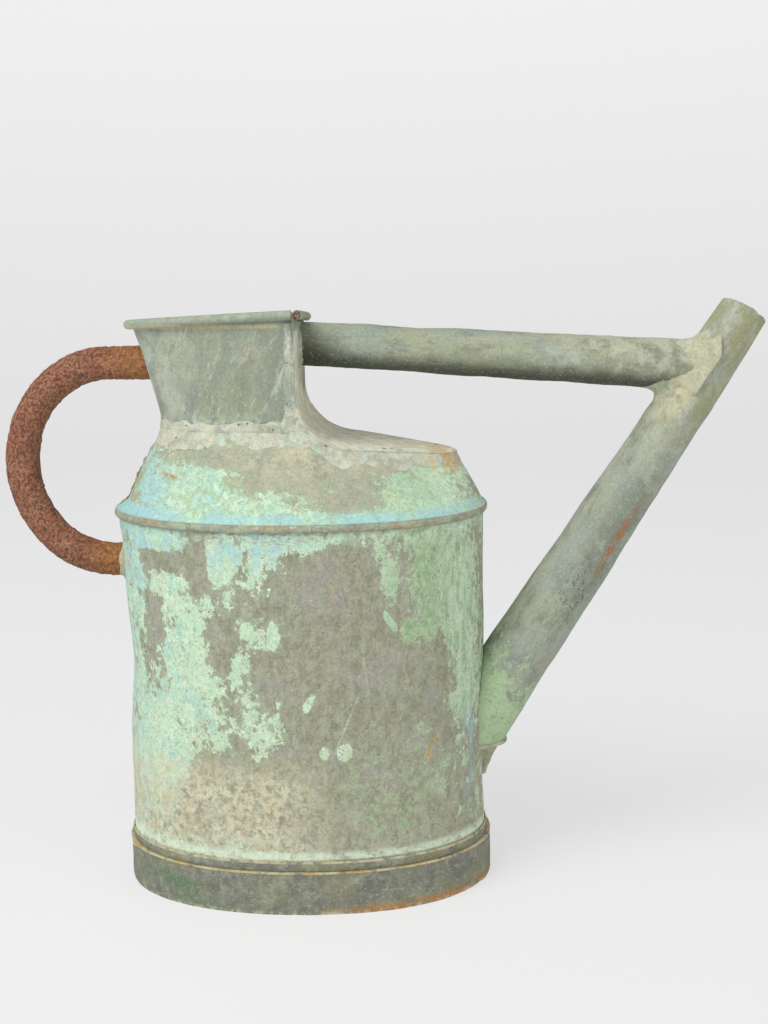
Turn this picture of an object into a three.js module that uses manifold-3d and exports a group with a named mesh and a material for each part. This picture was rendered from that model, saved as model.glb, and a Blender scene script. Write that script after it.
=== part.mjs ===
// An old copper watering can with an iron loop handle, in millimetres, +Z up, spout towards +X.
// Heights are measured from the ground, and plan positions from the middle of the oval drum.
import * as THREE from "three";
import { mergeVertices } from "three/addons/utils/BufferGeometryUtils.js";
import Module from "manifold-3d";

// Copper sheet and the clearance that soldered pieces keep to each other
const SHEET = 1.0;
const GAP = 0.3;
const QUARTER_STEPS = 15;

// Drum: an oval wall, with a hem turned out at its top that the shoulder is folded over
const DRUM_HALF_LENGTH = 130;
const DRUM_HALF_WIDTH = 92;
const DRUM_SQUARENESS = 2.15;
const DRUM_FOOT_Z = 32.5;
const DRUM_TOP_Z = 273.4;
const HEM_OUT = 2.1;
const HEM_HEIGHT = 2.0;
const LAP_RISE = 1.1;
const LAP_WIDTH = 11;
const LAP_SHARE = 0.47;

// Foot: a pan for a floor, with its edge turned up round the wall, and a hoop that stands on the ground
const FLOOR_Z = 31.2;
const PAN_TOP_Z = 38;
const HOOP_OUT = 2.7;
const HOOP_HEM = 1.1;
const HOOP_HEM_HEIGHT = 5;
const HOOP_LEDGE = 7;
const HOOP_LIP = 0.45;

// Shoulder: from the folded seam up to the neck and to the edge of the roof
const SEAM_OUT = 3.4;
const SEAM_BOTTOM_Z = 269.8;
const SEAM_TOP_Z = 275.1;
const SHOULDER_TOP_Z = 331;
const SHOULDER_BULGE = 1.4;
const NECK_CENTRE_X = -8;
const NECK_FOOT_BACK_X = -98.6;
const NECK_SQUARENESS = 2.2;
const ROOF_SHOULDER_X = 30;
const ROOF_TIP_X = 109.5;
const ROOF_TIP_Z = 312;
const ROOF_SLOPE = 0.115;
const ROOF_TAPER = 0.53;
const ROOF_NOSE = 19;
const ROOF_OVERHANG = 0.8;
const ROOF_CORNER_EASE = 12;
const ROOF_NOSE_EASE = 6;
const ROOF_NOSE_FULLNESS = 0.75;

// Neck: a flared sheet wrapped round the back, and a flat strip in front that bends down into the roof
const NECK_HALF_WIDTH = 50;
const NECK_FRONT_X = 0.6;
const NECK_SKEW = -0.03;
const ROOF_BEND_RADIUS = 38;
const FLARE = 0.15;
const FLARE_CURVE = 0.0016;
const MOUTH_Z = 409.1;
const MOUTH_RISE = 0.041;
const MOUTH_TILT = -0.07;
const WIRE_RADIUS = 2.0;
const FRONT_WIRE_OVERHANG = 2.2;

// Solder, laid on thickly and left lumpy
const SOLDER = 1.1;
const NECK_SOLDER_UP = 7.5;
const NECK_SOLDER_DOWN = 12;
const CORNER_SOLDER_WIDTH = 9;
const BACK_SEAM_WIDTH = 12;
const BACK_SEAM_RISE = 2.4;
const BACK_SEAM_SHARES = [0.04, 0.74];
const BEAD = 1.8;

// Iron loop handle: a tube round half an oval, with straight ends into the neck and the wall
const LOOP_TUBE_RADIUS = 12.3;
const LOOP_WALL = 2.0;
const LOOP_CENTRE = new THREE.Vector3(-137, 0, 305.8);
const LOOP_REACH = 65.5;
const LOOP_HALF_HEIGHT = 71.4;
const LOOP_INTO_NECK = 45;
const LOOP_INTO_WALL = 20;

// Spout: a tapered tube, open and worn at its tip, whose rose is lost
const SPOUT_CUT_Z = 98;
const SPOUT_FOOT_INSET = 16.1;
const SPOUT_RUN = 368.5;
const SPOUT_ANGLE = THREE.MathUtils.degToRad(57.35);
const SPOUT_TIP_RADIUS = 17;
const SPOUT_TAPER = 0.0244;
const SPOUT_LENGTH = 405;
const SPOUT_SPARE = 10;
const CUT_HALF_WIDTH = 60;
const TIP_WEAR_ANGLE = THREE.MathUtils.degToRad(13);
const BOOT_FOOT_Z = 72;
const BOOT_HALF_WIDTH = 17;
const BOOT_REACH = 13;

// Carrying handle: a tapered tube between the front of the neck and the spout
const CARRY_NECK_DROP = 19.5;
const CARRY_SPOUT_DROP = 36.4;
const CARRY_SPOUT_BACK = 50.7;
const CARRY_NECK_RADIUS = 15.2;
const CARRY_SPOUT_RADIUS = 17.6;
const SADDLE_REACH = 7;
const SADDLE_SHARES = [0.8, 1.09];
const SADDLE_LENGTH = 110;
const CARRY_SIDES = 18;

const COPPER = { color: 0x7f9a83, roughness: 0.85, metalness: 0.25 };
const DARK_COPPER = { color: 0x6b6a56, roughness: 0.8, metalness: 0.3 };
const GREY_COPPER = { color: 0x7d8478, roughness: 0.8, metalness: 0.3 };
const PALE_SOLDER = { color: 0xb4b39c, roughness: 0.9, metalness: 0.15 };
const RUSTY_IRON = { color: 0x8a4b34, roughness: 0.95, metalness: 0.1 };

const wasm = await Module();
wasm.setup();

// A manifold-3d solid from a closed geometry, whose corners are first merged.
function toSolid(geometry) {
  const bare = geometry.clone();
  bare.deleteAttribute("normal");
  bare.deleteAttribute("uv");
  const merged = mergeVertices(bare, 1e-4);
  return new wasm.Manifold(
    new wasm.Mesh({
      numProp: 3,
      vertProperties: merged.attributes.position.array,
      triVerts: new Uint32Array(merged.index.array),
    }),
  );
}

function toGeometry(solid) {
  const mesh = solid.getMesh();
  const geometry = new THREE.BufferGeometry();
  geometry.setAttribute("position", new THREE.BufferAttribute(mesh.vertProperties, 3));
  geometry.setIndex(new THREE.BufferAttribute(mesh.triVerts, 1));
  geometry.computeVertexNormals();
  return geometry;
}

// Triangles across a loop, rung by rung, for a sheet's section or any loop that bulges outwards.
function rungs(size) {
  const faces = [];
  for (let j = 0; j < (size - 1) / 2; j++) {
    const last = size - 1 - j;
    if (j + 1 < last) faces.push([j, j + 1, last]);
    if (j + 1 < last - 1) faces.push([j + 1, last - 1, last]);
  }
  return faces;
}

function signedVolume(points, faces) {
  return faces.reduce((sum, [a, b, c]) => {
    const across = new THREE.Vector3().crossVectors(points[b], points[c]);
    return sum + points[a].dot(across) / 6;
  }, 0);
}

// One closed solid through loops of points: a ring that runs round into its first loop, or a bar
// with both ends filled.
function stitch(loops, ring) {
  const size = loops[0].length;
  const points = loops.flat();
  const faces = [];
  const spans = ring ? loops.length : loops.length - 1;
  for (let i = 0; i < spans; i++) {
    const here = i * size;
    const next = ((i + 1) % loops.length) * size;
    for (let j = 0; j < size; j++) {
      const k = (j + 1) % size;
      faces.push([here + j, here + k, next + k]);
      faces.push([here + j, next + k, next + j]);
    }
  }
  if (!ring) {
    const last = (loops.length - 1) * size;
    for (const [a, b, c] of rungs(size)) {
      faces.push([a, c, b]);
      faces.push([last + a, last + b, last + c]);
    }
  }
  if (signedVolume(points, faces) < 0) faces.forEach((face) => face.reverse());
  const geometry = new THREE.BufferGeometry().setFromPoints(points);
  geometry.setIndex(faces.flat());
  geometry.computeVertexNormals();
  return geometry;
}

const ring = (loops) => stitch(loops, true);
const bar = (loops) => stitch(loops, false);

function mesh(name, geometry, finish) {
  const made = new THREE.Mesh(geometry, new THREE.MeshStandardMaterial(finish));
  made.name = name;
  return made;
}

// A quarter of an oval in plan, from the side (0, width) to the end (length, 0), in equal steps.
function quarterOval(length, width, squareness) {
  const power = 2 / squareness;
  const points = Array.from({ length: 49 }, (_, i) => {
    const angle = ((i / 48) * Math.PI) / 2;
    return new THREE.Vector2(length * Math.sin(angle) ** power, width * Math.cos(angle) ** power);
  });
  return new THREE.SplineCurve(points).getSpacedPoints(QUARTER_STEPS);
}

// The roof's plan on one side: parallel to the strip, then tapering to a rounded nose.
function quarterRoof() {
  const noseX = ROOF_TIP_X - ROOF_NOSE / 2;
  const sideX = noseX - (NECK_HALF_WIDTH - ROOF_NOSE) / ROOF_TAPER;
  const path = new THREE.Path();
  path.moveTo(NECK_CENTRE_X, NECK_HALF_WIDTH);
  path.lineTo(ROOF_SHOULDER_X, NECK_HALF_WIDTH);
  const ease = ROOF_CORNER_EASE;
  path.quadraticCurveTo(sideX, NECK_HALF_WIDTH, sideX + ease, NECK_HALF_WIDTH - ease * ROOF_TAPER);
  path.lineTo(noseX - ROOF_NOSE_EASE, ROOF_NOSE + ROOF_NOSE_EASE * ROOF_TAPER);
  path.quadraticCurveTo(ROOF_TIP_X, ROOF_NOSE * ROOF_NOSE_FULLNESS, ROOF_TIP_X, 0);
  return new THREE.SplineCurve(path.getSpacedPoints(48)).getSpacedPoints(QUARTER_STEPS);
}

// A closed plan outline, anticlockwise from the spout's end, out of a front and a back quarter.
function closedOutline(front, back) {
  const near = [...front].reverse();
  const half = [...near, ...back.slice(1)];
  const mirrored = half.slice(1, -1).reverse().map((p) => new THREE.Vector2(p.x, -p.y));
  return [...half, ...mirrored];
}

function outwardNormals(outline) {
  return outline.map((_, i) => {
    const before = outline[(i + outline.length - 1) % outline.length];
    const after = outline[(i + 1) % outline.length];
    return new THREE.Vector2(after.y - before.y, before.x - after.x).normalize();
  });
}

const drumQuarter = quarterOval(DRUM_HALF_LENGTH, DRUM_HALF_WIDTH, DRUM_SQUARENESS);
const drumBack = drumQuarter.map((p) => new THREE.Vector2(-p.x, p.y));
const drumOutline = closedOutline(drumQuarter, drumBack);
const drumNormals = outwardNormals(drumOutline);

const neckQuarter = quarterOval(NECK_CENTRE_X - NECK_FOOT_BACK_X, NECK_HALF_WIDTH, NECK_SQUARENESS);
const neckBack = neckQuarter.map((p) => new THREE.Vector2(NECK_CENTRE_X - p.x, p.y));
const shoulderTopOutline = closedOutline(quarterRoof(), neckBack);
const STATIONS = drumOutline.length;

// Knocks in the wall: where along the outline (0 at the spout, 0.5 at the back), height, depth, spreads
const KNOCKS = [
  { share: 0.52, z: DRUM_TOP_Z * 0.6, depth: -3.8, alongSpread: 0.07, heightSpread: 48 },
  { share: 0.51, z: DRUM_TOP_Z * 0.99, depth: 2.2, alongSpread: 0.06, heightSpread: 26 },
  { share: 0, z: DRUM_TOP_Z * 0.25, depth: -2, alongSpread: 0.06, heightSpread: 26 },
];

function unevenness(station, z) {
  const share = station / STATIONS;
  return KNOCKS.reduce((sum, knock) => {
    const apart = Math.abs(share - knock.share);
    const along = Math.min(apart, 1 - apart) / knock.alongSpread;
    const up = (z - knock.z) / knock.heightSpread;
    return sum + knock.depth * Math.exp(-along * along - up * up);
  }, 0);
}

// A point beside the drum's outer face: so far out of it, at a height.
function wallPoint(station, out, z) {
  const base = drumOutline[station];
  const normal = drumNormals[station];
  const reach = out + unevenness(station, z);
  return new THREE.Vector3(base.x + normal.x * reach, base.y + normal.y * reach, z);
}

// A ring whose section is given as [out of the wall, height] pairs, the same at every station.
function wallRing(section) {
  const loops = drumOutline.map((_, i) => section.map(([out, z]) => wallPoint(i, out, z)));
  return ring(loops);
}

// The drum's plan as a flat plate or a block, so far outside its wall.
function wallBlock(out, bottom, top) {
  const outline = drumOutline.map((p, i) => p.clone().addScaledVector(drumNormals[i], out));
  const block = new THREE.ExtrudeGeometry(new THREE.Shape(outline), {
    depth: top - bottom,
    bevelEnabled: false,
  });
  return block.translate(0, 0, bottom);
}

function heights(bottom, top, steps) {
  return Array.from({ length: steps + 1 }, (_, i) => bottom + ((top - bottom) * i) / steps);
}

const hemZ = DRUM_TOP_Z - HEM_HEIGHT;
const wallLevels = heights(DRUM_FOOT_Z, hemZ, 7);

// All inside the drum's wall, grown so far out of it.
function wallCore(out) {
  return toSolid(bar(wallLevels.map((z) => drumOutline.map((_, i) => wallPoint(i, out, z)))));
}

function drumWall() {
  const levels = wallLevels;
  const outside = levels.map((z) => [0, z]);
  const inside = [...levels].reverse().map((z) => [-SHEET, z]);
  const hem = [[HEM_OUT, hemZ], [HEM_OUT, DRUM_TOP_Z], [-SHEET, DRUM_TOP_Z]];
  const wall = toSolid(wallRing([...outside, ...hem, ...inside.slice(1)]));
  return toGeometry(wall.subtract(spoutBore()));
}

// The wall's lap seam, a doubled sheet that stands off the outside behind the loop handle.
function drumLap() {
  const middle = Math.round(STATIONS * LAP_SHARE);
  const bottom = PAN_TOP_Z + GAP;
  const top = SEAM_BOTTOM_Z - GAP;
  const loops = heights(bottom, top, 8).map((z) => {
    const centre = wallPoint(middle, 0, z);
    const along = wallPoint(middle + 1, 0, z).sub(wallPoint(middle - 1, 0, z)).normalize();
    const out = new THREE.Vector3(along.y, -along.x, 0);
    return [[-0.5, GAP], [0.5, GAP], [0.5, LAP_RISE], [-0.5, LAP_RISE]].map(([side, off]) =>
      centre.clone().addScaledVector(along, side * LAP_WIDTH).addScaledVector(out, off));
  });
  return bar(loops);
}

// The floor is a pan: a plate under the wall, with its edge turned up round the outside.
function floorPan() {
  const plate = toSolid(wallBlock(GAP + SHEET, FLOOR_Z, FLOOR_Z + SHEET));
  const edge = wallRing([
    [GAP, FLOOR_Z + SHEET / 2],
    [GAP + SHEET, FLOOR_Z + SHEET / 2],
    [GAP + SHEET, PAN_TOP_Z - SHEET],
    [GAP + SHEET / 2, PAN_TOP_Z],
    [GAP, PAN_TOP_Z],
  ]);
  return toGeometry(plate.add(toSolid(edge)));
}

// The hoop that the can stands on: hemmed at the ground, ledged inwards under the floor.
function footHoop() {
  const top = FLOOR_Z - GAP;
  const inner = HOOP_OUT - SHEET;
  return wallRing([
    [inner - HOOP_HEM, 0],
    [HOOP_OUT, 0],
    [HOOP_OUT, top - 2],
    [HOOP_OUT + HOOP_LIP, top - 1],
    [HOOP_OUT + HOOP_LIP, top],
    [-HOOP_LEDGE, top],
    [-HOOP_LEDGE, top - SHEET],
    [inner, top - SHEET],
    [inner, HOOP_HEM_HEIGHT],
    [inner - HOOP_HEM, HOOP_HEM_HEIGHT],
  ]);
}

// The roof strip's upper face seen from the side: upright, then an arc, then the sloping roof.
const bendX = NECK_FRONT_X + ROOF_BEND_RADIUS;
const bendEndAngle = Math.atan(ROOF_SLOPE);
const bendEndX = bendX - ROOF_BEND_RADIUS * Math.sin(bendEndAngle);
const bendEndZ = ROOF_TIP_Z + (ROOF_TIP_X - bendEndX) * ROOF_SLOPE;
const bendZ = bendEndZ + ROOF_BEND_RADIUS * Math.cos(bendEndAngle);
const bendAngles = heights(0, Math.PI / 2 - bendEndAngle, 8);

function roofHeight(x) {
  if (x >= bendEndX) return ROOF_TIP_Z + (ROOF_TIP_X - x) * ROOF_SLOPE;
  const run = Math.min(bendX - x, ROOF_BEND_RADIUS);
  return bendZ - Math.sqrt(ROOF_BEND_RADIUS ** 2 - run ** 2);
}

function stripFront(z) {
  if (z >= bendZ) return NECK_FRONT_X;
  const drop = Math.min(bendZ - z, ROOF_BEND_RADIUS);
  return bendX - Math.sqrt(ROOF_BEND_RADIUS ** 2 - drop ** 2);
}

// How far the strip stands upright at a height: 1 on the neck's front, 0 where it is the roof.
function stripLean(z) {
  const drop = THREE.MathUtils.clamp((bendZ - z) / ROOF_BEND_RADIUS, 0, 1);
  return Math.sqrt(1 - drop * drop);
}

// The shoulder's upper edge: level round the neck, and following the roof's underside in front.
function shoulderTop(x) {
  if (x <= NECK_FRONT_X + SHEET) return SHOULDER_TOP_Z;
  const run = Math.max(bendX - x, ROOF_BEND_RADIUS * Math.sin(bendEndAngle));
  const steepness = ROOF_BEND_RADIUS / Math.sqrt(ROOF_BEND_RADIUS ** 2 - run ** 2);
  return Math.min(SHOULDER_TOP_Z, roofHeight(x) - (SHEET + 3 * GAP) * steepness);
}

// A point beside the shoulder's outer face, at a share of the way up it.
function shoulderPoint(station, share, out) {
  const foot = wallPoint(station, GAP, SEAM_TOP_Z);
  const plan = shoulderTopOutline[station];
  const head = new THREE.Vector3(plan.x, plan.y, shoulderTop(plan.x));
  const point = foot.lerp(head, share);
  const normal = drumNormals[station];
  const reach = out + SHOULDER_BULGE * Math.sin(Math.PI * share);
  return point.add(new THREE.Vector3(normal.x * reach, normal.y * reach, 0));
}

// The cone above the drum, with its foot folded round the drum's hem.
function shoulder() {
  const thick = SHEET * 1.4;
  const shares = heights(0, 1, 4);
  const loops = drumOutline.map((_, i) => [
    wallPoint(i, GAP, SEAM_BOTTOM_Z),
    wallPoint(i, SEAM_OUT, SEAM_BOTTOM_Z),
    wallPoint(i, SEAM_OUT, SEAM_TOP_Z),
    ...shares.map((share) => shoulderPoint(i, share, 0)),
    ...[...shares].reverse().slice(0, -1).map((share) => shoulderPoint(i, share, -thick)),
    wallPoint(i, GAP - thick, SEAM_TOP_Z - SHEET),
    wallPoint(i, SEAM_OUT - SHEET, SEAM_TOP_Z - SHEET),
    wallPoint(i, SEAM_OUT - SHEET, SEAM_BOTTOM_Z + SHEET * 0.8),
    wallPoint(i, GAP, SEAM_BOTTOM_Z + SHEET * 0.8),
  ]);
  return ring(loops);
}

function mouthHeight(x, y) {
  return MOUTH_Z + MOUTH_RISE * (x - NECK_FRONT_X) + MOUTH_TILT * y;
}

function neckBackReach(z) {
  const up = z - SHOULDER_TOP_Z;
  return NECK_CENTRE_X - NECK_FOOT_BACK_X + FLARE * up + FLARE_CURVE * up * up;
}

// The neck's plan on the outside of its sheet, from the near front corner round to the far one.
const neckUnits = neckQuarter.map(
  (p) => new THREE.Vector2(p.x / (NECK_CENTRE_X - NECK_FOOT_BACK_X), p.y / NECK_HALF_WIDTH),
);
const neckStations = [
  ...neckUnits.map((u) => ({ back: u.x, side: -u.y })),
  ...[...neckUnits].reverse().slice(1).map((u) => ({ back: u.x, side: u.y })),
];

function neckPlan(index, z) {
  if (index < 0 || index >= neckStations.length) {
    const side = index < 0 ? -1 : 1;
    const y = side * NECK_HALF_WIDTH;
    const lean = stripLean(z);
    const face = stripFront(z) + NECK_SKEW * y * lean;
    return new THREE.Vector2(face - (SHEET + 2 * GAP) / lean, y);
  }
  const { back, side } = neckStations[index];
  return new THREE.Vector2(NECK_CENTRE_X - back * neckBackReach(z), side * NECK_HALF_WIDTH);
}

function neckNormal(index, z) {
  if (index < 1) return new THREE.Vector2(0, -1);
  if (index > neckStations.length - 2) return new THREE.Vector2(0, 1);
  const run = neckPlan(index + 1, z).sub(neckPlan(index - 1, z)).normalize();
  return new THREE.Vector2(-run.y, run.x);
}

function neckPoint(index, out, z) {
  const plan = neckPlan(index, z).addScaledVector(neckNormal(index, z), out);
  return new THREE.Vector3(plan.x, plan.y, z);
}

// The curl of sheet round the rim wire, as [out, up] from the wire's centre.
function curl(outwards) {
  const inner = WIRE_RADIUS + GAP;
  const arc = (radius, from, to, steps) =>
    heights(from, to, steps).map((degrees) => {
      const angle = THREE.MathUtils.degToRad(degrees);
      return [outwards * radius * Math.cos(angle), radius * Math.sin(angle)];
    });
  return [...arc(inner, 180, -100, 8), ...arc(inner + SHEET, -100, 180, 8)];
}

// The neck's back sheet, from the shoulder to the rim rolled outwards round its wire.
function neckSheet() {
  const foot = SHOULDER_TOP_Z + GAP;
  const shares = heights(0, 1, 6).slice(0, -1).map((share) => share ** 1.4);
  const reach = WIRE_RADIUS + GAP;
  const loops = [];
  for (let i = -1; i <= neckStations.length; i++) {
    const rough = neckPlan(i, MOUTH_Z);
    const rimZ = mouthHeight(rough.x, rough.y);
    const level = (share) => foot + (rimZ - foot) * share;
    loops.push([
      ...shares.map((share) => neckPoint(i, 0, level(share))),
      ...curl(1).map(([out, up]) => neckRimPoint(i, reach + out, up, rimZ)),
      ...[...shares].reverse().map((share) => neckPoint(i, -SHEET, level(share))),
    ]);
  }
  return bar(loops);
}

// A point beside the rim: all of a station's curl shares the plan that the sheet has at its top.
function neckRimPoint(index, out, up, rimZ) {
  const point = neckPoint(index, out, rimZ);
  return point.setZ(rimZ + up);
}

function circleLoop(steps) {
  return Array.from({ length: steps }, (_, i) => {
    const angle = (i / steps) * 2 * Math.PI;
    return new THREE.Vector2(Math.cos(angle), Math.sin(angle));
  });
}

function neckRimWire() {
  const section = circleLoop(6);
  const loops = [];
  for (let i = -1; i <= neckStations.length; i++) {
    const rough = neckPlan(i, MOUTH_Z);
    const rimZ = mouthHeight(rough.x, rough.y);
    loops.push(section.map((p) =>
      neckRimPoint(i, WIRE_RADIUS + GAP + p.x * WIRE_RADIUS, p.y * WIRE_RADIUS, rimZ)));
  }
  return bar(loops);
}

function frontWireX(y) {
  return NECK_FRONT_X + NECK_SKEW * y + WIRE_RADIUS + GAP;
}

// Half the strip's width: level with the neck's sheet, then just over the roof's outline.
const roofEdge = new THREE.SplineCurve(quarterRoof()).getPoints(120);
function stripHalfWidth(x) {
  if (x <= ROOF_SHOULDER_X) return NECK_HALF_WIDTH;
  const i = roofEdge.findIndex((p) => p.x >= x);
  if (i < 1) return 0;
  const share = (x - roofEdge[i - 1].x) / (roofEdge[i].x - roofEdge[i - 1].x);
  const overhang = ROOF_OVERHANG * THREE.MathUtils.smoothstep(x, ROOF_SHOULDER_X, bendX + 10);
  return THREE.MathUtils.lerp(roofEdge[i - 1].y, roofEdge[i].y, share) + overhang;
}

// The front of the neck and the roof, one strip: curled at the rim, upright, bent, then sloping.
function neckFrontAndRoof() {
  const intoCurl = SHEET / 2;
  const upright = heights(MOUTH_Z + intoCurl, bendZ, 3).map((z) => ({ x: NECK_FRONT_X, z, lean: 1 }));
  const bend = bendAngles.slice(1).map((angle) => ({
    x: bendX - ROOF_BEND_RADIUS * Math.cos(angle),
    z: bendZ - ROOF_BEND_RADIUS * Math.sin(angle),
    lean: Math.cos(angle),
  }));
  const roof = [0.09, 0.3, 0.51, 0.7, 0.82, 0.91, 0.965, 0.999].map((share) => {
    const x = THREE.MathUtils.lerp(bendX, ROOF_TIP_X, share);
    return { x, z: roofHeight(x), lean: 0 };
  });
  const rows = [...upright, ...bend, ...roof];
  const tangents = rows.map((row, i) => {
    const before = rows[Math.max(i - 1, 0)];
    const after = rows[Math.min(i + 1, rows.length - 1)];
    return new THREE.Vector2(after.x - before.x, after.z - before.z).normalize();
  });
  const across = heights(-1, 1, 6);
  const loops = rows.map((row, i) => {
    const half = Math.max(stripHalfWidth(row.x), 1) - (i === 0 ? 0.01 : 0);
    const inward = new THREE.Vector2(tangents[i].y, -tangents[i].x);
    const face = (share, depth) => {
      const y = share * half;
      const tilt = i === 0 ? mouthHeight(row.x, y) - MOUTH_Z : 0;
      return new THREE.Vector3(
        row.x + NECK_SKEW * y * row.lean + inward.x * depth,
        y,
        row.z + inward.y * depth + tilt,
      );
    };
    return [
      ...across.map((share) => face(share, 0)),
      ...[...across].reverse().map((share) => face(share, SHEET)),
    ];
  });
  const plate = toSolid(bar(loops));
  return toGeometry(plate.add(toSolid(frontCurl())));
}

// The strip's top edge, curled forwards round the front wire.
function frontCurl() {
  const section = curl(1);
  const loops = heights(-NECK_HALF_WIDTH, NECK_HALF_WIDTH, 6).map((y) =>
    section.map(([out, up]) => {
      const x = frontWireX(y) + out;
      return new THREE.Vector3(x, y, mouthHeight(NECK_FRONT_X, y) + up);
    }));
  return bar(loops);
}

function frontRimWire() {
  const section = circleLoop(10);
  const end = NECK_HALF_WIDTH + FRONT_WIRE_OVERHANG;
  const loops = [-end, end].map((y) =>
    section.map((p) => new THREE.Vector3(
      frontWireX(y) + p.x * WIRE_RADIUS, y, mouthHeight(NECK_FRONT_X, y) + p.y * WIRE_RADIUS)));
  return bar(loops);
}

// A circle of points round a station of {centre, out, up, radius}, its radius changed by extra.
function roundLoop(station, extra, steps) {
  return circleLoop(steps).map((p) =>
    station.centre.clone()
      .addScaledVector(station.out, p.x * (station.radius + extra))
      .addScaledVector(station.up, p.y * (station.radius + extra)));
}

// A tube along stations, with a bore.
function tube(stations, wall, steps) {
  const outer = bar(stations.map((s) => roundLoop(s, 0, steps)));
  const stretched = stations.map((s, i) => {
    const end = i === 0 ? -1 : i === stations.length - 1 ? 1 : 0;
    const ahead = new THREE.Vector3().crossVectors(s.out, s.up).multiplyScalar(end * s.turn);
    return { ...s, centre: s.centre.clone().add(ahead) };
  });
  const bore = bar(stretched.map((s) => roundLoop(s, -wall, steps)));
  return toSolid(outer).subtract(toSolid(bore));
}

function loopStations() {
  const side = new THREE.Vector3(0, 1, 0);
  const points = heights(90, 270, 14).map((degrees) => {
    const angle = THREE.MathUtils.degToRad(degrees);
    return new THREE.Vector3(
      LOOP_CENTRE.x + LOOP_REACH * Math.cos(angle),
      0,
      LOOP_CENTRE.z + LOOP_HALF_HEIGHT * Math.sin(angle),
    );
  });
  const neckEnd = new THREE.Vector3(LOOP_CENTRE.x + LOOP_INTO_NECK, 0, points[0].z);
  const wallEnd = new THREE.Vector3(LOOP_CENTRE.x + LOOP_INTO_WALL, 0, points.at(-1).z);
  const route = [neckEnd, ...points, wallEnd];
  return route.map((centre, i) => {
    const before = route[Math.max(i - 1, 0)];
    const after = route[Math.min(i + 1, route.length - 1)];
    const along = after.clone().sub(before).normalize();
    const up = new THREE.Vector3().crossVectors(along, side).normalize();
    return { centre, out: side, up, radius: LOOP_TUBE_RADIUS, turn: 1 };
  });
}

// All that the back of the can takes up, so far outside its sheet: the loop handle is cut to it.
function canBody(out) {
  const neckLevels = heights(SHOULDER_TOP_Z - 5, MOUTH_Z - 8, 5);
  const loops = neckLevels.map((z) =>
    heights(0, neckStations.length - 1, neckStations.length - 1).map((i) => neckPoint(i, out, z)));
  const neck = toSolid(bar(loops));
  return neck.add(wallCore(out));
}

function loopHandle() {
  return toGeometry(tube(loopStations(), LOOP_WALL, 16).subtract(canBody(GAP)));
}

// The spout's own frame: along is up the tube, and the distance is measured back from the tip.
const spoutAlong = new THREE.Vector3(Math.cos(SPOUT_ANGLE), 0, Math.sin(SPOUT_ANGLE));
const SPOUT_TIP = new THREE.Vector3(DRUM_HALF_LENGTH - SPOUT_FOOT_INSET, 0, SPOUT_CUT_Z)
  .addScaledVector(spoutAlong, SPOUT_RUN);
const spoutUp = new THREE.Vector3(-spoutAlong.z, 0, spoutAlong.x);

function spoutPoint(back) {
  return SPOUT_TIP.clone().addScaledVector(spoutAlong, -back);
}

function spoutRadius(back) {
  return SPOUT_TIP_RADIUS + SPOUT_TAPER * back;
}

// A cone along the spout's axis, its radius changed by extra, from one distance back to another.
function spoutCone(from, to, extra, steps = 24) {
  const cone = new THREE.CylinderGeometry(
    spoutRadius(from) + extra, spoutRadius(to) + extra, to - from, steps);
  cone.rotateX(Math.PI / 2);
  const frame = new THREE.Matrix4().makeBasis(
    spoutUp, new THREE.Vector3().crossVectors(spoutAlong, spoutUp), spoutAlong);
  cone.applyMatrix4(frame);
  const middle = spoutPoint((from + to) / 2);
  return toSolid(cone.translate(middle.x, middle.y, middle.z));
}

function spoutBore() {
  const low = toSolid(cutBox(SPOUT_CUT_Z + 4, hemZ));
  return spoutCone(SPOUT_LENGTH / 2, SPOUT_LENGTH, -SHEET - 2).intersect(low);
}

function boxBetween(low, high) {
  const box = new THREE.BoxGeometry(high[0] - low[0], high[1] - low[1], high[2] - low[2]);
  return box.translate((low[0] + high[0]) / 2, (low[1] + high[1]) / 2, (low[2] + high[2]) / 2);
}

// The room from the drum's middle to the tip, between two heights.
function cutBox(bottom, top) {
  return boxBetween([0, -CUT_HALF_WIDTH, bottom], [SPOUT_TIP.x, CUT_HALF_WIDTH, top]);
}

function spout() {
  const outer = spoutCone(-SPOUT_SPARE, SPOUT_LENGTH, 0);
  const bore = spoutCone(-2 * SPOUT_SPARE, SPOUT_LENGTH + SPOUT_SPARE, -SHEET);
  const below = toSolid(cutBox(0, SPOUT_CUT_Z));
  return toGeometry(outer.subtract(bore).subtract(wallCore(GAP)).subtract(below).subtract(tipCut()));
}

// What wear has taken off the tip: all beyond a slanting plane, and three chips in the edge.
function tipCut() {
  const block = boxBetween([-40, -40, 0], [40, 40, 40]);
  block.rotateX(TIP_WEAR_ANGLE);
  const chips = [[-0.9, -0.6, 3.2], [0.75, -0.8, 2.6], [0.1, 1.05, 3.4]].map(([up, side, size]) => {
    const chip = new THREE.IcosahedronGeometry(size, 1);
    return chip.translate(up * SPOUT_TIP_RADIUS, side * SPOUT_TIP_RADIUS, 1);
  });
  const frame = new THREE.Matrix4().makeBasis(
    spoutUp, new THREE.Vector3().crossVectors(spoutAlong, spoutUp), spoutAlong);
  const placed = [block, ...chips].map((g) =>
    toSolid(g.applyMatrix4(frame).translate(SPOUT_TIP.x, SPOUT_TIP.y, SPOUT_TIP.z)));
  return placed.reduce((all, one) => all.add(one));
}

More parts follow.
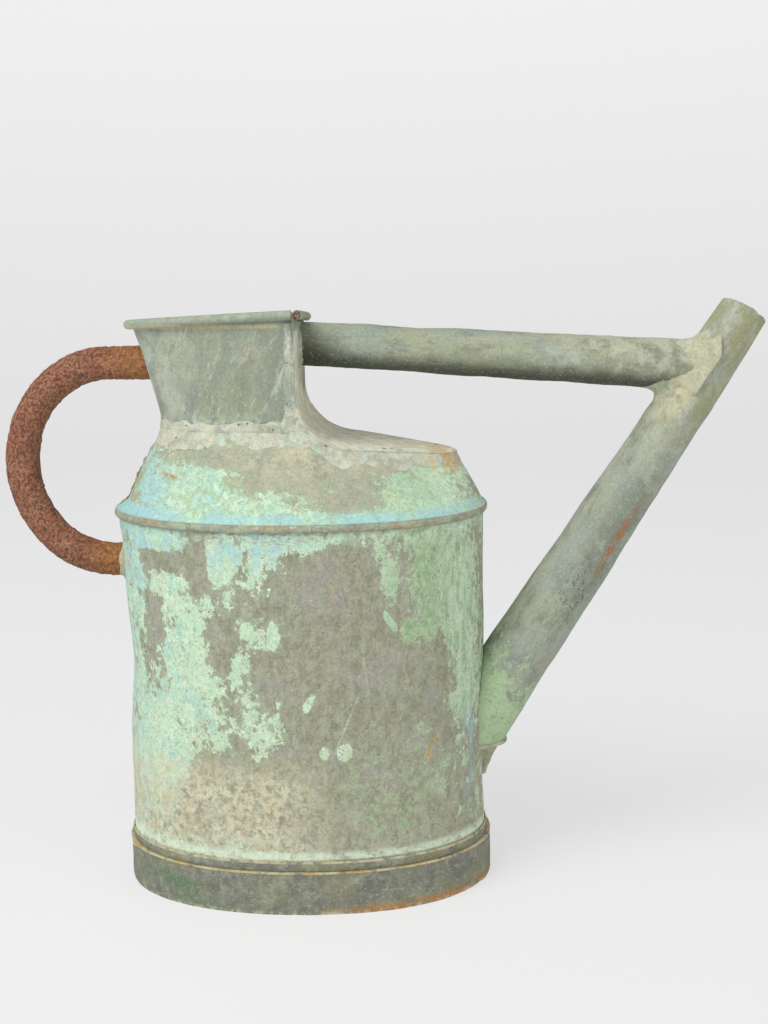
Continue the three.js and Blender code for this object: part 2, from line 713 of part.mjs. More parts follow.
// The boot's outside, grown so far: half round, and tapering down onto the wall.
function bootCore(grow) {
  const top = SPOUT_CUT_Z - GAP;
  return toSolid(bar(heights(BOOT_FOOT_Z, top, 5).map((z) => {
    const share = (z - BOOT_FOOT_Z) / (top - BOOT_FOOT_Z);
    const width = BOOT_HALF_WIDTH * (0.25 + 0.75 * share) + grow;
    const reach = BOOT_REACH * (0.15 + 0.85 * share ** 1.2) + grow;
    return circleLoop(20).map((p) =>
      new THREE.Vector3(DRUM_HALF_LENGTH + p.x * reach, p.y * width, z));
  })));
}

// The boot under the spout, a half-round sheet.
function spoutBoot() {
  const inner = bootCore(-SHEET).translate([0, 0, SHEET * 2]);
  return toGeometry(bootCore(0).subtract(wallCore(GAP)).subtract(inner));
}

// A bead of solder where two pieces meet: near both, and clear of both. Each is given as a
// function that returns its outside grown by a distance.
function bead(one, other) {
  const near = one(GAP + BEAD).intersect(other(GAP + BEAD));
  return near.subtract(one(GAP)).subtract(other(GAP));
}

// The lip of solder round the spout's foot, over its joint with the boot.
function spoutFootSolder() {
  const foot = (out) => spoutCone(SPOUT_LENGTH / 2, SPOUT_LENGTH, out);
  const joint = toSolid(cutBox(SPOUT_CUT_Z - BEAD, SPOUT_CUT_Z + BEAD));
  const lip = foot(GAP + BEAD).intersect(joint).subtract(foot(GAP));
  return toGeometry(lip.subtract(bootCore(GAP)).subtract(wallCore(GAP)));
}

function loopFootSolder() {
  const end = loopStations().slice(-4);
  const loopEnd = (out) => toSolid(bar(end.map((station) => roundLoop(station, out, 16))));
  return toGeometry(bead(loopEnd, wallCore));
}

const carryNeck = new THREE.Vector3(NECK_FRONT_X + GAP, 0, MOUTH_Z - CARRY_NECK_DROP);
const carrySpout = new THREE.Vector3(
  SPOUT_TIP.x - CARRY_SPOUT_BACK, 0, SPOUT_TIP.z - CARRY_SPOUT_DROP);
const carryAlong = carrySpout.clone().sub(carryNeck).normalize();
const carryUp = new THREE.Vector3(-carryAlong.z, 0, carryAlong.x);
const carrySide = new THREE.Vector3().crossVectors(carryUp, carryAlong);

// Stations along the carrying handle: share 0 at the neck, 1 at the spout's near side.
function carryStation(share) {
  const centre = carryNeck.clone().lerp(carrySpout, share);
  const radius = THREE.MathUtils.lerp(CARRY_NECK_RADIUS, CARRY_SPOUT_RADIUS, share);
  return { centre, out: carrySide, up: carryUp, radius, turn: 0 };
}

// All behind the strip's upright and bent face, grown so far out of it.
function behindNeckFront(out) {
  const side = NECK_HALF_WIDTH;
  const bent = bendAngles.slice(0, 6).map((angle) => bendZ - ROOF_BEND_RADIUS * Math.sin(angle));
  return toSolid(bar([MOUTH_Z, ...bent].map((z) => {
    const lean = stripLean(z);
    const front = (y) => stripFront(z) + NECK_SKEW * y * lean + out / lean;
    const plan = [[-side, -side], [front(-side), -side], [front(side), side], [-side, side]];
    return plan.map(([x, y]) => new THREE.Vector3(x, y, z));
  })));
}

function carryHandle() {
  const stations = [-0.05, 0, 0.25, 0.5, 0.75, 1, 1.09].map((share) => carryStation(share));
  const rough = tube(stations, SHEET, CARRY_SIDES);
  const joined = spoutCone(-SPOUT_SPARE, SPOUT_LENGTH / 2, GAP);
  return toGeometry(rough.subtract(behindNeckFront(GAP)).subtract(joined));
}

// The carrying handle's outside between two shares of its length, grown so far.
function carryCore(shares, out) {
  return toSolid(bar(shares.map((share) => roundLoop(carryStation(share), out, CARRY_SIDES))));
}

// The bead round the handle at the neck stays below the curl of the front's top edge.
function carryNeckSolder() {
  const round = bead((out) => carryCore([-0.05, 0.2], out), behindNeckFront);
  const below = toSolid(cutBox(SHOULDER_TOP_Z, MOUTH_Z - 2 * (WIRE_RADIUS + GAP)));
  return toGeometry(round.intersect(below));
}

// The solder that saddles the end of the carrying handle onto the spout: a fillet in three steps,
// each so far off the spout and so far off the handle.
function saddleSolder() {
  const steps = [[0.2, 1], [0.5, 0.5], [1, 0.2]];
  const grown = (extra) => carryCore(SADDLE_SHARES, extra);
  const fillet = steps
    .map(([offSpout, offHandle]) =>
      spoutCone(0, SADDLE_LENGTH, GAP + offSpout * SADDLE_REACH)
        .intersect(grown(GAP + offHandle * SADDLE_REACH)))
    .reduce((all, one) => all.add(one));
  const joined = spoutCone(-SPOUT_SPARE, SPOUT_LENGTH / 2, GAP);
  return toGeometry(fillet.subtract(grown(GAP)).subtract(joined));
}

const shoulderNormals = outwardNormals(shoulderTopOutline);

// Solder over the joint of neck and shoulder, and on under the roof's edge to the tip.
function neckSolder() {
  const loops = shoulderTopOutline.map((plan, i) => {
    const onNeck = 1 - THREE.MathUtils.smoothstep(plan.x, -14, NECK_FRONT_X - 1);
    const foot = wallPoint(i, GAP, SEAM_TOP_Z);
    const slant = foot.distanceTo(new THREE.Vector3(plan.x, plan.y, shoulderTop(plan.x)));
    const down = (distance, out) => shoulderPoint(i, 1 - distance / slant, out);
    const wave = 1 + 0.18 * Math.sin(i * 1.9) + 0.1 * Math.sin(i * 3.7);
    const middle = THREE.MathUtils.lerp(5, 0.3, onNeck);
    const edge = 0.8;
    const upper = (out) => {
      const onSlope = down(edge, out);
      const back = NECK_CENTRE_X - plan.x;
      if (onNeck === 0 || back < 0) return onSlope;
      const z = SHOULDER_TOP_Z + NECK_SOLDER_UP * wave;
      const grown = neckBackReach(z) / neckBackReach(SHOULDER_TOP_Z);
      const normal = shoulderNormals[i];
      const onSheet = new THREE.Vector3(
        NECK_CENTRE_X - back * grown + normal.x * out, plan.y + normal.y * out, z);
      return onSlope.lerp(onSheet, onNeck);
    };
    return [
      down(NECK_SOLDER_DOWN * wave, 2 * GAP),
      down(NECK_SOLDER_DOWN * wave, 2 * GAP + SOLDER / 2),
      down(middle, 2 * GAP + SOLDER),
      upper(2 * GAP + SOLDER / 2),
      upper(2 * GAP),
      down(middle, 2 * GAP),
    ];
  });
  return ring(loops);
}

// Solder down a front corner of the neck, on the side sheet just behind the strip.
function cornerSolder(side) {
  const faceY = side * (NECK_HALF_WIDTH + GAP);
  const bottom = SHOULDER_TOP_Z + NECK_SOLDER_UP * 1.6;
  const top = mouthHeight(0, faceY) - WIRE_RADIUS * 2 - SHEET * 2;
  const loops = heights(bottom, top, 8).map((z, i) => {
    const front = stripFront(z) + NECK_SKEW * faceY - SHEET - GAP;
    const back = front - CORNER_SOLDER_WIDTH * (1 + 0.15 * Math.sin(i * 2.3));
    return [
      new THREE.Vector3(back, faceY, z),
      new THREE.Vector3(front, faceY, z),
      new THREE.Vector3(front, faceY + side * SOLDER, z),
      new THREE.Vector3(back + 2, faceY + side * SOLDER * 0.6, z),
    ];
  });
  return bar(loops);
}

// The crusted seam down the back of the shoulder.
function shoulderSeam() {
  const middle = STATIONS / 2;
  const loops = heights(...BACK_SEAM_SHARES, 12).map((share, i) => {
    const lump = 1 + 0.3 * Math.sin(i * 2.4) + 0.18 * Math.sin(i * 5.1);
    const base = shoulderPoint(middle, share, GAP);
    const half = BACK_SEAM_WIDTH / 2;
    return [[-half, 0], [half, 0], [half * 0.6, 0.75], [0, 1], [-half * 0.6, 0.75]].map(([y, rise]) =>
      new THREE.Vector3(base.x - rise * BACK_SEAM_RISE * lump, base.y + y, base.z));
  });
  return bar(loops);
}

function buildCan() {
  const can = new THREE.Group();
  can.add(
    mesh("drum_wall", drumWall(), COPPER),
    mesh("drum_lap_seam", drumLap(), COPPER),
    mesh("floor_pan", floorPan(), DARK_COPPER),
    mesh("foot_hoop", footHoop(), DARK_COPPER),
    mesh("shoulder", shoulder(), COPPER),
    mesh("shoulder_back_seam", shoulderSeam(), PALE_SOLDER),
    mesh("neck_sheet", neckSheet(), GREY_COPPER),
    mesh("neck_front_and_roof", neckFrontAndRoof(), GREY_COPPER),
    mesh("neck_rim_wire", neckRimWire(), RUSTY_IRON),
    mesh("front_rim_wire", frontRimWire(), RUSTY_IRON),
    mesh("neck_solder", neckSolder(), PALE_SOLDER),
    mesh("near_corner_solder", cornerSolder(-1), PALE_SOLDER),
    mesh("far_corner_solder", cornerSolder(1), PALE_SOLDER),
    mesh("loop_handle", loopHandle(), RUSTY_IRON),
    mesh("spout", spout(), GREY_COPPER),
    mesh("spout_boot", spoutBoot(), GREY_COPPER),
    mesh("carry_handle", carryHandle(), GREY_COPPER),
    mesh("saddle_solder", saddleSolder(), PALE_SOLDER),
    mesh("carry_neck_solder", carryNeckSolder(), PALE_SOLDER),
    mesh("loop_foot_solder", loopFootSolder(), PALE_SOLDER),
    mesh("spout_foot_solder", spoutFootSolder(), PALE_SOLDER),
  );
  const box = new THREE.Box3().setFromObject(can);
  can.position.set(-(box.min.x + box.max.x) / 2, -(box.min.y + box.max.y) / 2, -box.min.z);
  const part = new THREE.Group();
  part.add(can);
  return part;
}

export default buildCan();
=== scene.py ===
import logging
import math
from dataclasses import dataclass, field
from enum import Enum
from typing import Callable, Sequence

import bmesh
import bpy
import numpy as np
from mathutils import Matrix, Vector, noise


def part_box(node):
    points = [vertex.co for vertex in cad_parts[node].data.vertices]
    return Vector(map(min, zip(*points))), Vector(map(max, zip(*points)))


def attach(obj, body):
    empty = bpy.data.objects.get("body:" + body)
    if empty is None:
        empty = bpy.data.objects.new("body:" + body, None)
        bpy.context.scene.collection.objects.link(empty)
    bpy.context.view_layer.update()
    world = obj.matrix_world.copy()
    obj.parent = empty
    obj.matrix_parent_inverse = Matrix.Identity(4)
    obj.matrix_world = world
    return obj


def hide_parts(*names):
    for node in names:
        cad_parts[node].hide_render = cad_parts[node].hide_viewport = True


# Sizes are in millimetres in the can's own frame: x from the middle of the drum towards the spout,
# y away from the side that the photo shows, z up from the ground. Meshes are written in metres.
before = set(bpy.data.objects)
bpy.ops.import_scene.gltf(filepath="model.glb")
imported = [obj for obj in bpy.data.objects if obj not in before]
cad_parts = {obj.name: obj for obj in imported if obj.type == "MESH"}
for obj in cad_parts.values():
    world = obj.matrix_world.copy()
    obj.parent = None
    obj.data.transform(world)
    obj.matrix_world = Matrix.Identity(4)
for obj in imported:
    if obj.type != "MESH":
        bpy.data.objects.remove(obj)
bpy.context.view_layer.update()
FLOOR_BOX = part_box("floor_pan")
DRUM_X = (FLOOR_BOX[0].x + FLOOR_BOX[1].x) * 500
MM = 0.001
ROOT = "root"
Array = np.ndarray
Material = bpy.types.Material
Object = bpy.types.Object
Socket = bpy.types.NodeSocket
ACROSS = np.array([0.0, 1.0, 0.0])
log = logging.getLogger("watering_can")


class Slot(Enum):
    """The record's material slots."""

    VERDIGRIS = "verdigris_copper"
    DARK = "dark_copper"
    GREY = "grey_copper"
    SOLDER = "solder"
    IRON = "rusty_iron"


class Tint(Enum):
    """Colours of the old metal, dirt and ground, as they look in plain light; UNDERSIDE and INSIDE are
    painted shade, SPOUT_OLIVE, BARE_DARK and CARRY_DARK also serve as painted shade in places, and NECK_PALE
    as a painted highlight on the spout.
    """

    BARE = "a8aa95"
    BARE_DARK = "8d8e79"
    BARE_MAUVE = "a3a19b"
    MINT = "c6e3c3"
    PALE_MINT = "dcefd6"
    TURQUOISE = "b0dacc"
    SKY = "a2d0d6"
    BLUE_STREAK = "9db8d6"
    LEAF = "aac29b"
    FERN = "b0cda0"
    FERN_DARK = "86a677"
    CREAM = "dbdabb"
    OCHRE = "c9a468"
    ORANGE = "b07a3c"
    CRACK = "55564a"
    HOOP = "84867a"
    HOOP_DARK = "6d6f64"
    HOOP_OLIVE = "85856a"
    STAIN_GREEN = "5d7a5a"
    EDGE_CREAM = "cfc79d"
    NECK = "a0a48f"
    NECK_GREY = "8d9488"
    NECK_GREEN = "8ea08f"
    NECK_PALE = "c3c8b8"
    SLATE = "868e86"
    TAN = "b7b39a"
    ROOF = "bdbda9"
    ROOF_OLIVE = "cccbb4"
    ROOF_LIT = "ebe8d6"
    CARRY = "9b9f84"
    CARRY_DARK = "7f8676"
    SPOUT = "9ca290"
    SPOUT_BLUE = "94a39d"
    SPOUT_OCHRE = "c6c1a0"
    SPOUT_OLIVE = "84865f"
    # Painted shade: the near-black laid along the spout's lower side, under the carrying handle and at its
    # neck end.
    UNDERSIDE = "373b30"
    TIP_OLIVE = "95956f"
    SOLDER = "c8ccbb"
    SOLDER_GREY = "b0b3a6"
    SOLDER_WARM = "c9c5a8"
    RUST = "9a6c55"
    RUST_ORANGE = "b08264"
    RUST_DARK = "5c4238"
    RUST_RED = "93604b"
    CRUST = "a98c5a"
    CRUST_DARK = "6b5536"
    SPECK = "e4e6da"
    # Painted shade for the inside of the neck, darker further down.
    INSIDE = "5f6458"
    FLOOR = "eeeeee"
    BACKDROP = "ffffff"

    @property
    def rgba(self) -> tuple[float, float, float, float]:
        """The colour in linear light.

        Returns:
            Red, green, blue and alpha.
        """
        parts = [int(self.value[i : i + 2], 16) / 255 for i in (0, 2, 4)]
        linear = [p / 12.92 if p <= 0.04045 else ((p + 0.055) / 1.055) ** 2.4 for p in parts]
        return (*linear, 1.0)


def spread(curve: Array, count: int) -> Array:
    """Spaces points evenly along a line.

    Args:
        curve: The line's points.
        count: How many spans to make.

    Returns:
        One more point than spans.
    """
    steps = np.linalg.norm(np.diff(curve, axis=0), axis=1)
    run = np.concatenate([[0.0], np.cumsum(steps)])
    at = np.linspace(0, run[-1], count + 1)
    return np.stack([np.interp(at, run, curve[:, k]) for k in range(curve.shape[1])], 1)


def smoothstep(value: Array, low: float, high: float) -> Array:
    """Rises smoothly from 0 at low to 1 at high."""
    t = np.clip((value - low) / (high - low), 0, 1)
    return t * t * (3 - 2 * t)


def rumple(points: Array, size: float, seed: float = 0.0) -> Array:
    """Smooth random relief over points.

    Args:
        points: Points in mm, in any array shape that ends in 3.
        size: How wide one bump is, in mm.
        seed: Shifts the pattern.

    Returns:
        About -1 to 1 at each point.
    """
    flat = points.reshape(-1, 3) / size + seed * 17.31
    values = [noise.noise(Vector(p)) for p in flat.tolist()]
    return np.array(values).reshape(points.shape[:-1]) * 1.6


def bumps(points: Array, *layers: tuple[float, float, float]) -> Array:
    """Adds up random reliefs of several sizes.

    Args:
        points: Points in mm.
        layers: For each, how wide a bump is, its seed and its depth in mm.

    Returns:
        The relief in mm at each point.
    """
    total = 0.0
    for size, seed, depth in layers:
        total = total + rumple(points, size, seed) * depth
    return total


def pits(points: Array, size: float, seed: float = 0.0) -> Array:
    """How near each point is to a random cell's middle: 0 in the middle, about 1 far from it.

    Args:
        points: Points in mm.
        size: How wide one cell or blob is, in mm.
        seed: Shifts the pattern.

    Returns:
        The distance at each point.
    """
    flat = points.reshape(-1, 3) / size + seed * 9.7
    values = [noise.voronoi(Vector(p))[0][0] for p in flat.tolist()]
    return np.array(values).reshape(points.shape[:-1])


def bent(a: Sequence[float], b: Sequence[float], c: Sequence[float], t: Array) -> Array:
    """A quadratic curve from a to c that leans towards b.

    Args:
        a: Its start.
        b: What pulls it.
        c: Its end.
        t: Shares of the way along, as a column.

    Returns:
        A point for each share.
    """
    return np.asarray(a) * (1 - t) ** 2 + np.asarray(b) * 2 * t * (1 - t) + np.asarray(c) * t**2


def sideways(normals: Array, share: float = 1.0, up: float = 0.0) -> Array:
    """Plan normals as directions in space, scaled, with a rise, ready to multiply sections by."""
    return np.concatenate([normals * share, np.full((len(normals), 1), up)], 1)[:, None]


def outward(outline: Array) -> Array:
    """Unit normals of a closed anticlockwise plan outline.

    Args:
        outline: The outline's points.

    Returns:
        A unit vector for each point.
    """
    run = np.roll(outline, -1, axis=0) - np.roll(outline, 1, axis=0)
    normal = np.stack([run[:, 1], -run[:, 0]], 1)
    return normal / np.linalg.norm(normal, axis=1, keepdims=True)


def superoval(length: float, width: float, squareness: float, count: int) -> Array:
    """A quarter of an oval in plan, from its side to its end, in equal steps.

    Args:
        length: Half its length.
        width: Half its width.
        squareness: 2 for an ellipse, more for squarer corners.
        count: How many spans to make.

    Returns:
        One more point than spans.
    """
    angle = np.linspace(0, math.pi / 2, 1441)
    power = 2 / squareness
    x = length * np.sin(angle) ** power
    y = width * np.clip(np.cos(angle), 0, 1) ** power
    return spread(np.stack([x, y], 1), count)


def closed_outline(front: Array, back: Array) -> Array:
    """A closed outline, anticlockwise from the spout's end, of a front and a back quarter.

    Args:
        front: From the side to the front end.
        back: From the side to the back end.

    Returns:
        The whole outline.
    """
    half = np.concatenate([front[::-1], back[1:]])
    mirrored = half[1:-1][::-1] * [1, -1]
    return np.concatenate([half, mirrored])


def place(name: str, data: object) -> Object:
    """Makes an object of some data and puts it in the scene.

    Args:
        name: The object's name.
        data: Its mesh, light or camera.

    Returns:
        The object.
    """
    made = bpy.data.objects.new(name, data)
    bpy.context.scene.collection.objects.link(made)
    return made


@dataclass(frozen=True)
class Knock:
    """A dent or swelling in the drum's wall."""

    share: float
    z: float
    depth: float
    along: float
    up: float


@dataclass
class CanForm:
    """The can's sheet-metal shape, shared by the pieces that fit each other."""

    quarter: int = 96
    sheet: float = 1.0
    gap: float = 0.3
    drum: tuple[float, float, float] = (130.0, 92.0, 2.15)
    foot_z: float = 32.5
    hem_z: float = 271.4
    seam: tuple[float, float, float] = (2.8, 269.8, 275.1)
    shoulder_top: float = 331.0
    bulge: float = 1.4
    back_pull: float = 4.0
    neck_centre: float = -8.0
    neck_back: float = 90.6
    neck_half: float = 50.0
    neck_squareness: float = 2.2
    neck_front: float = 0.6
    skew: float = -0.03
    flare: tuple[float, float] = (0.15, 0.0016)
    mouth: tuple[float, float, float] = (409.1, 0.041, -0.07)
    bend_radius: float = 38.0
    roof_tip: tuple[float, float] = (109.5, 312.0)
    roof_slope: float = 0.115
    roof_taper: float = 0.53
    roof_nose: float = 19.0
    roof_shoulder: float = 30.0
    wire: float = 2.0
    knocks: tuple[Knock, ...] = (
        Knock(0.52, 164, -3.8, 0.07, 48),
        Knock(0.51, 270.7, 2.2, 0.06, 26),
        Knock(0.0, 68.4, -2.0, 0.06, 26),
    )
    outline: Array = field(init=False)
    normals: Array = field(init=False)
    top: Array = field(init=False)
    top_normals: Array = field(init=False)
    neck_units: Array = field(init=False)
    roof_edge: Array = field(init=False)

    def __post_init__(self) -> None:
        """Works out the plan outlines once."""
        quarter = superoval(*self.drum, self.quarter)
        self.outline = closed_outline(quarter, quarter * [-1, 1])
        self.normals = outward(self.outline)
        neck = superoval(self.neck_back, self.neck_half, self.neck_squareness, self.quarter)
        back = np.stack([self.neck_centre - neck[:, 0], neck[:, 1]], 1)
        self.roof_edge = self.roof_quarter()
        self.top = closed_outline(self.roof_edge, back)
        self.top_normals = outward(self.top)
        units = neck / [self.neck_back, self.neck_half]
        near = units * [1, -1]
        self.neck_units = np.concatenate([near, units[::-1][1:]])

    @property
    def bend_x(self) -> float:
        """Where the roof strip's bend has its centre."""
        return self.neck_front + self.bend_radius

    @property
    def bend_angle(self) -> float:
        """The roof's slope as an angle."""
        return math.atan(self.roof_slope)

    @property
    def bend_end(self) -> float:
        """Where the bend meets the straight roof."""
        return self.bend_x - self.bend_radius * math.sin(self.bend_angle)

    @property
    def bend_z(self) -> float:
        """The height of the bend's centre."""
        end_z = self.roof_tip[1] + (self.roof_tip[0] - self.bend_end) * self.roof_slope
        return end_z + self.bend_radius * math.cos(self.bend_angle)

    def roof_quarter(self) -> Array:
        """The roof's plan on one side: straight, tapering, then a rounded nose.

        Returns:
            The edge's points.
        """
        nose_x = self.roof_tip[0] - self.roof_nose / 2
        side_x = nose_x - (self.neck_half - self.roof_nose) / self.roof_taper
        ease, blend = 12.0, 6.0
        t = np.linspace(0, 1, 60)[:, None]
        start = (self.roof_shoulder, self.neck_half)
        corner = (side_x, self.neck_half)
        leave = (side_x + ease, self.neck_half - ease * self.roof_taper)
        enter = (nose_x - blend, self.roof_nose + blend * self.roof_taper)
        round_off = (self.roof_tip[0], self.roof_nose * 0.75)
        path = np.concatenate([
            [[self.neck_centre, self.neck_half]],
            bent(start, corner, leave, t),
            bent(enter, round_off, (self.roof_tip[0], 0.0), t),
        ])
        return spread(path, self.quarter)

    def knocked(self, share: Array, z: Array) -> Array:
        """How far the wall is pushed out at a share of the way round and a height.

        Args:
            share: Shares of the way round.
            z: Heights in mm.

        Returns:
            The push in mm.
        """
        total = 0.0 * share * z
        for k in self.knocks:
            apart = np.abs(share - k.share)
            along = np.minimum(apart, 1 - apart) / k.along
            total = total + k.depth * np.exp(-(along**2) - ((z - k.z) / k.up) ** 2)
        return total

    def wall(self, out: Array, z: Array) -> Array:
        """Points beside the drum's outer face, at every station.

        Args:
            out: Distance out of the face, one for each row.
            z: Height of each row.

        Returns:
            An array of stations by rows by 3.
        """
        out, z = np.atleast_2d(out), np.atleast_2d(z)
        share = np.arange(len(self.outline))[:, None] / len(self.outline)
        reach = out + self.knocked(share, z)
        xy = self.outline[:, None] + self.normals[:, None] * reach[..., None]
        return np.concatenate([xy, np.broadcast_to(z, reach.shape)[..., None]], -1)

    def roof_height(self, x: Array) -> Array:
        """The height of the roof strip's upper face.

        Args:
            x: Places along the can, in mm.

        Returns:
            A height for each place.
        """
        run = np.clip(self.bend_x - x, 0, self.bend_radius)
        bend = self.bend_z - np.sqrt(self.bend_radius**2 - run**2)
        return np.where(x >= self.bend_end, self.roof_tip[1] + (self.roof_tip[0] - x) * self.roof_slope, bend)

    def strip_front(self, z: Array) -> Array:
        """Where the strip's front face stands at a height."""
        drop = np.clip(self.bend_z - z, 0, self.bend_radius)
        return np.where(
            z >= self.bend_z, self.neck_front, self.bend_x - np.sqrt(self.bend_radius**2 - drop**2)
        )

    def strip_lean(self, z: Array) -> Array:
        """1 where the strip stands upright, 0 where it is the roof."""
        drop = np.clip((self.bend_z - z) / self.bend_radius, 0, 0.98)
        return np.sqrt(1 - drop**2)

    def shoulder_head(self, x: Array) -> Array:
        """The height of the shoulder's upper edge.

        Args:
            x: Places along the can, in mm.

        Returns:
            A height for each place.
        """
        run = np.maximum(self.bend_x - x, self.bend_radius * math.sin(self.bend_angle))
        run = np.clip(run, 0, self.bend_radius * 0.95)
        steep = self.bend_radius / np.sqrt(self.bend_radius**2 - run**2)
        under = self.roof_height(x) - (self.sheet + 3 * self.gap) * steep
        return np.where(
            x <= self.neck_front + self.sheet, self.shoulder_top, np.minimum(self.shoulder_top, under)
        )

    def shoulder(self, share: Array, out: Array) -> Array:
        """Points beside the shoulder's outer face, at every station.

        Args:
            share: Share of the way up, one for each row or each station and row.
            out: Distance out of the face.

        Returns:
            An array of stations by rows by 3.
        """
        share, out = np.atleast_2d(share), np.atleast_2d(out)
        foot = self.wall(self.gap, self.seam[2])
        head = np.concatenate([self.top, self.shoulder_head(self.top[:, 0])[:, None]], 1)[:, None]
        point = foot + (head - foot) * share[..., None]
        behind = smoothstep(-self.top[:, :1], 40, 96)
        pull = self.back_pull * behind * (1 - np.clip(share, 0, 1)) ** 0.7 * smoothstep(share, 0.0, 0.1)
        reach = out + self.bulge * np.sin(math.pi * share) - pull
        return point + sideways(self.normals) * (reach * np.ones(point.shape[:2]))[..., None]

    def mouth_height(self, x: Array, y: Array) -> Array:
        """The height of the mouth's wire."""
        return self.mouth[0] + self.mouth[1] * (x - self.neck_front) + self.mouth[2] * y

    def neck_reach(self, z: Array) -> Array:
        """How far the neck's back stands from its centre at a height."""
        up = z - self.shoulder_top
        return self.neck_back + self.flare[0] * up + self.flare[1] * up * up

    def neck_plan(self, z: Array) -> Array:
        """The neck's plan at heights, from the near front corner round to the far one.

        Args:
            z: Heights, as stations by rows.

        Returns:
            Stations by rows by 2.
        """
        back = self.neck_units[:, :1]
        side = self.neck_units[:, 1:]
        x = self.neck_centre - back * self.neck_reach(z[1:-1])
        y = side * self.neck_half + 0 * z[1:-1]
        ends = []
        for sign, row in ((-1, z[0]), (1, z[-1])):
            lean = self.strip_lean(row)
            flank = np.full_like(row, sign * self.neck_half)
            face = self.strip_front(row) + self.skew * flank * lean
            ends.append(np.stack([face - (self.sheet + 2 * self.gap) / lean, flank], -1))
        return np.concatenate([ends[0][None], np.stack([x, y], -1), ends[1][None]])

    def neck(self, out: Array, z: Array, lift: Array | float = 0.0) -> Array:
        """Points beside the neck's outer face.

        Args:
            out: Distance out of the sheet, stations by rows.
            z: Height at which the plan is read, stations by rows.
            lift: Added to the height of the point itself.

        Returns:
            Stations by rows by 3.
        """
        plan = self.neck_plan(z)
        run = np.gradient(plan, axis=0)
        run[0], run[-1] = run[1], run[-2]
        normal = np.stack([-run[..., 1], run[..., 0]], -1)
        normal /= np.linalg.norm(normal, axis=-1, keepdims=True)
        spot = plan + normal * out[..., None]
        return np.concatenate([spot, (z + lift)[..., None]], -1)

    def strip_half(self, x: Array) -> Array:
        """Half the roof strip's width.

        Args:
            x: Places along the can, in mm.

        Returns:
            Half a width for each place.
        """
        edge = self.roof_edge
        half = np.interp(x, edge[:, 0], edge[:, 1])
        lap = 0.8 * smoothstep(x, self.roof_shoulder, self.bend_x + 10)
        return np.where(x <= self.roof_shoulder, self.neck_half, half + lap)


FORM = CanForm()


def close_faces(stations: int, size: int, ring: bool) -> list[tuple[int, ...]]:
    """Faces that skin a grid of closed sections into a solid.

    Args:
        stations: How many sections.
        size: How many points each has.
        ring: Whether the last section joins the first.

    Returns:
        Faces as tuples of point indices.
    """
    faces: list[tuple[int, ...]] = []
    for i in range(stations if ring else stations - 1):
        a, b = i * size, ((i + 1) % stations) * size
        faces += [(a + j, a + (j + 1) % size, b + (j + 1) % size, b + j) for j in range(size)]
    if not ring:
        last = (stations - 1) * size
        for j in range((size - 1) // 2):
            k = size - 1 - j
            quad = [j, j + 1, k - 1, k] if j + 1 < k - 1 else [j, j + 1, k]
            faces.append(tuple(quad))
            faces.append(tuple(last + q for q in reversed(quad)))
    return faces


class Piece:
    """Gathers shells in millimetres and turns them into one object."""

    def __init__(self, name: str) -> None:
        """Starts an empty piece.

        Args:
            name: The object's name.
        """
        self.name = name
        self.points: list[Array] = []
        self.faces: list[tuple[int, ...]] = []
        self.count = 0

    def grid(self, grid: Array, ring: bool) -> "Piece":
        """Adds a solid skinned over stations of closed sections.

        Args:
            grid: Stations by section points by 3.
            ring: Whether the stations close into a ring.

        Returns:
            The piece itself.
        """
        faces = close_faces(grid.shape[0], grid.shape[1], ring)
        self.faces += [tuple(self.count + q for q in face) for face in faces]
        self.points.append(grid.reshape(-1, 3))
        self.count += grid.shape[0] * grid.shape[1]
        return self

    def make(self, crease: float = 40.0) -> Object:
        """Builds the object, with outward faces and smooth shading.

        Args:
            crease: Edges sharper than this many degrees stay sharp.

        Returns:
            The object, at the origin, in metres.
        """
        mesh = bpy.data.meshes.new(self.name)
        points = np.concatenate(self.points)
        points = (points + [DRUM_X, 0, 0]) * MM
        mesh.from_pydata(points.tolist(), [], self.faces)
        shape = bmesh.new()
        shape.from_mesh(mesh)
        bmesh.ops.remove_doubles(shape, verts=shape.verts, dist=2e-6)
        bmesh.ops.recalc_face_normals(shape, faces=shape.faces)
        shape.to_mesh(mesh)
        shape.free()
        mesh.shade_smooth()
        mesh.set_sharp_from_angle(angle=math.radians(crease))
        return place(self.name, mesh)


def dress(made: Object, material: Material, slot: Slot, *nodes: str) -> Object:
    """Gives a piece its finish, its body and the CAD nodes that it stands for.

    Args:
        made: The piece.
        material: Its finish, unless it has one.
        slot: The record's slot for it; not used.
        nodes: The CAD nodes that it replaces.

    Returns:
        The piece.
    """
    if not made.data.materials:
        made.data.materials.append(material)
    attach(made, ROOT)
    if nodes:
        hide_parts(*nodes)
    log.info("%s: %d faces", made.name, len(made.data.polygons))
    return made


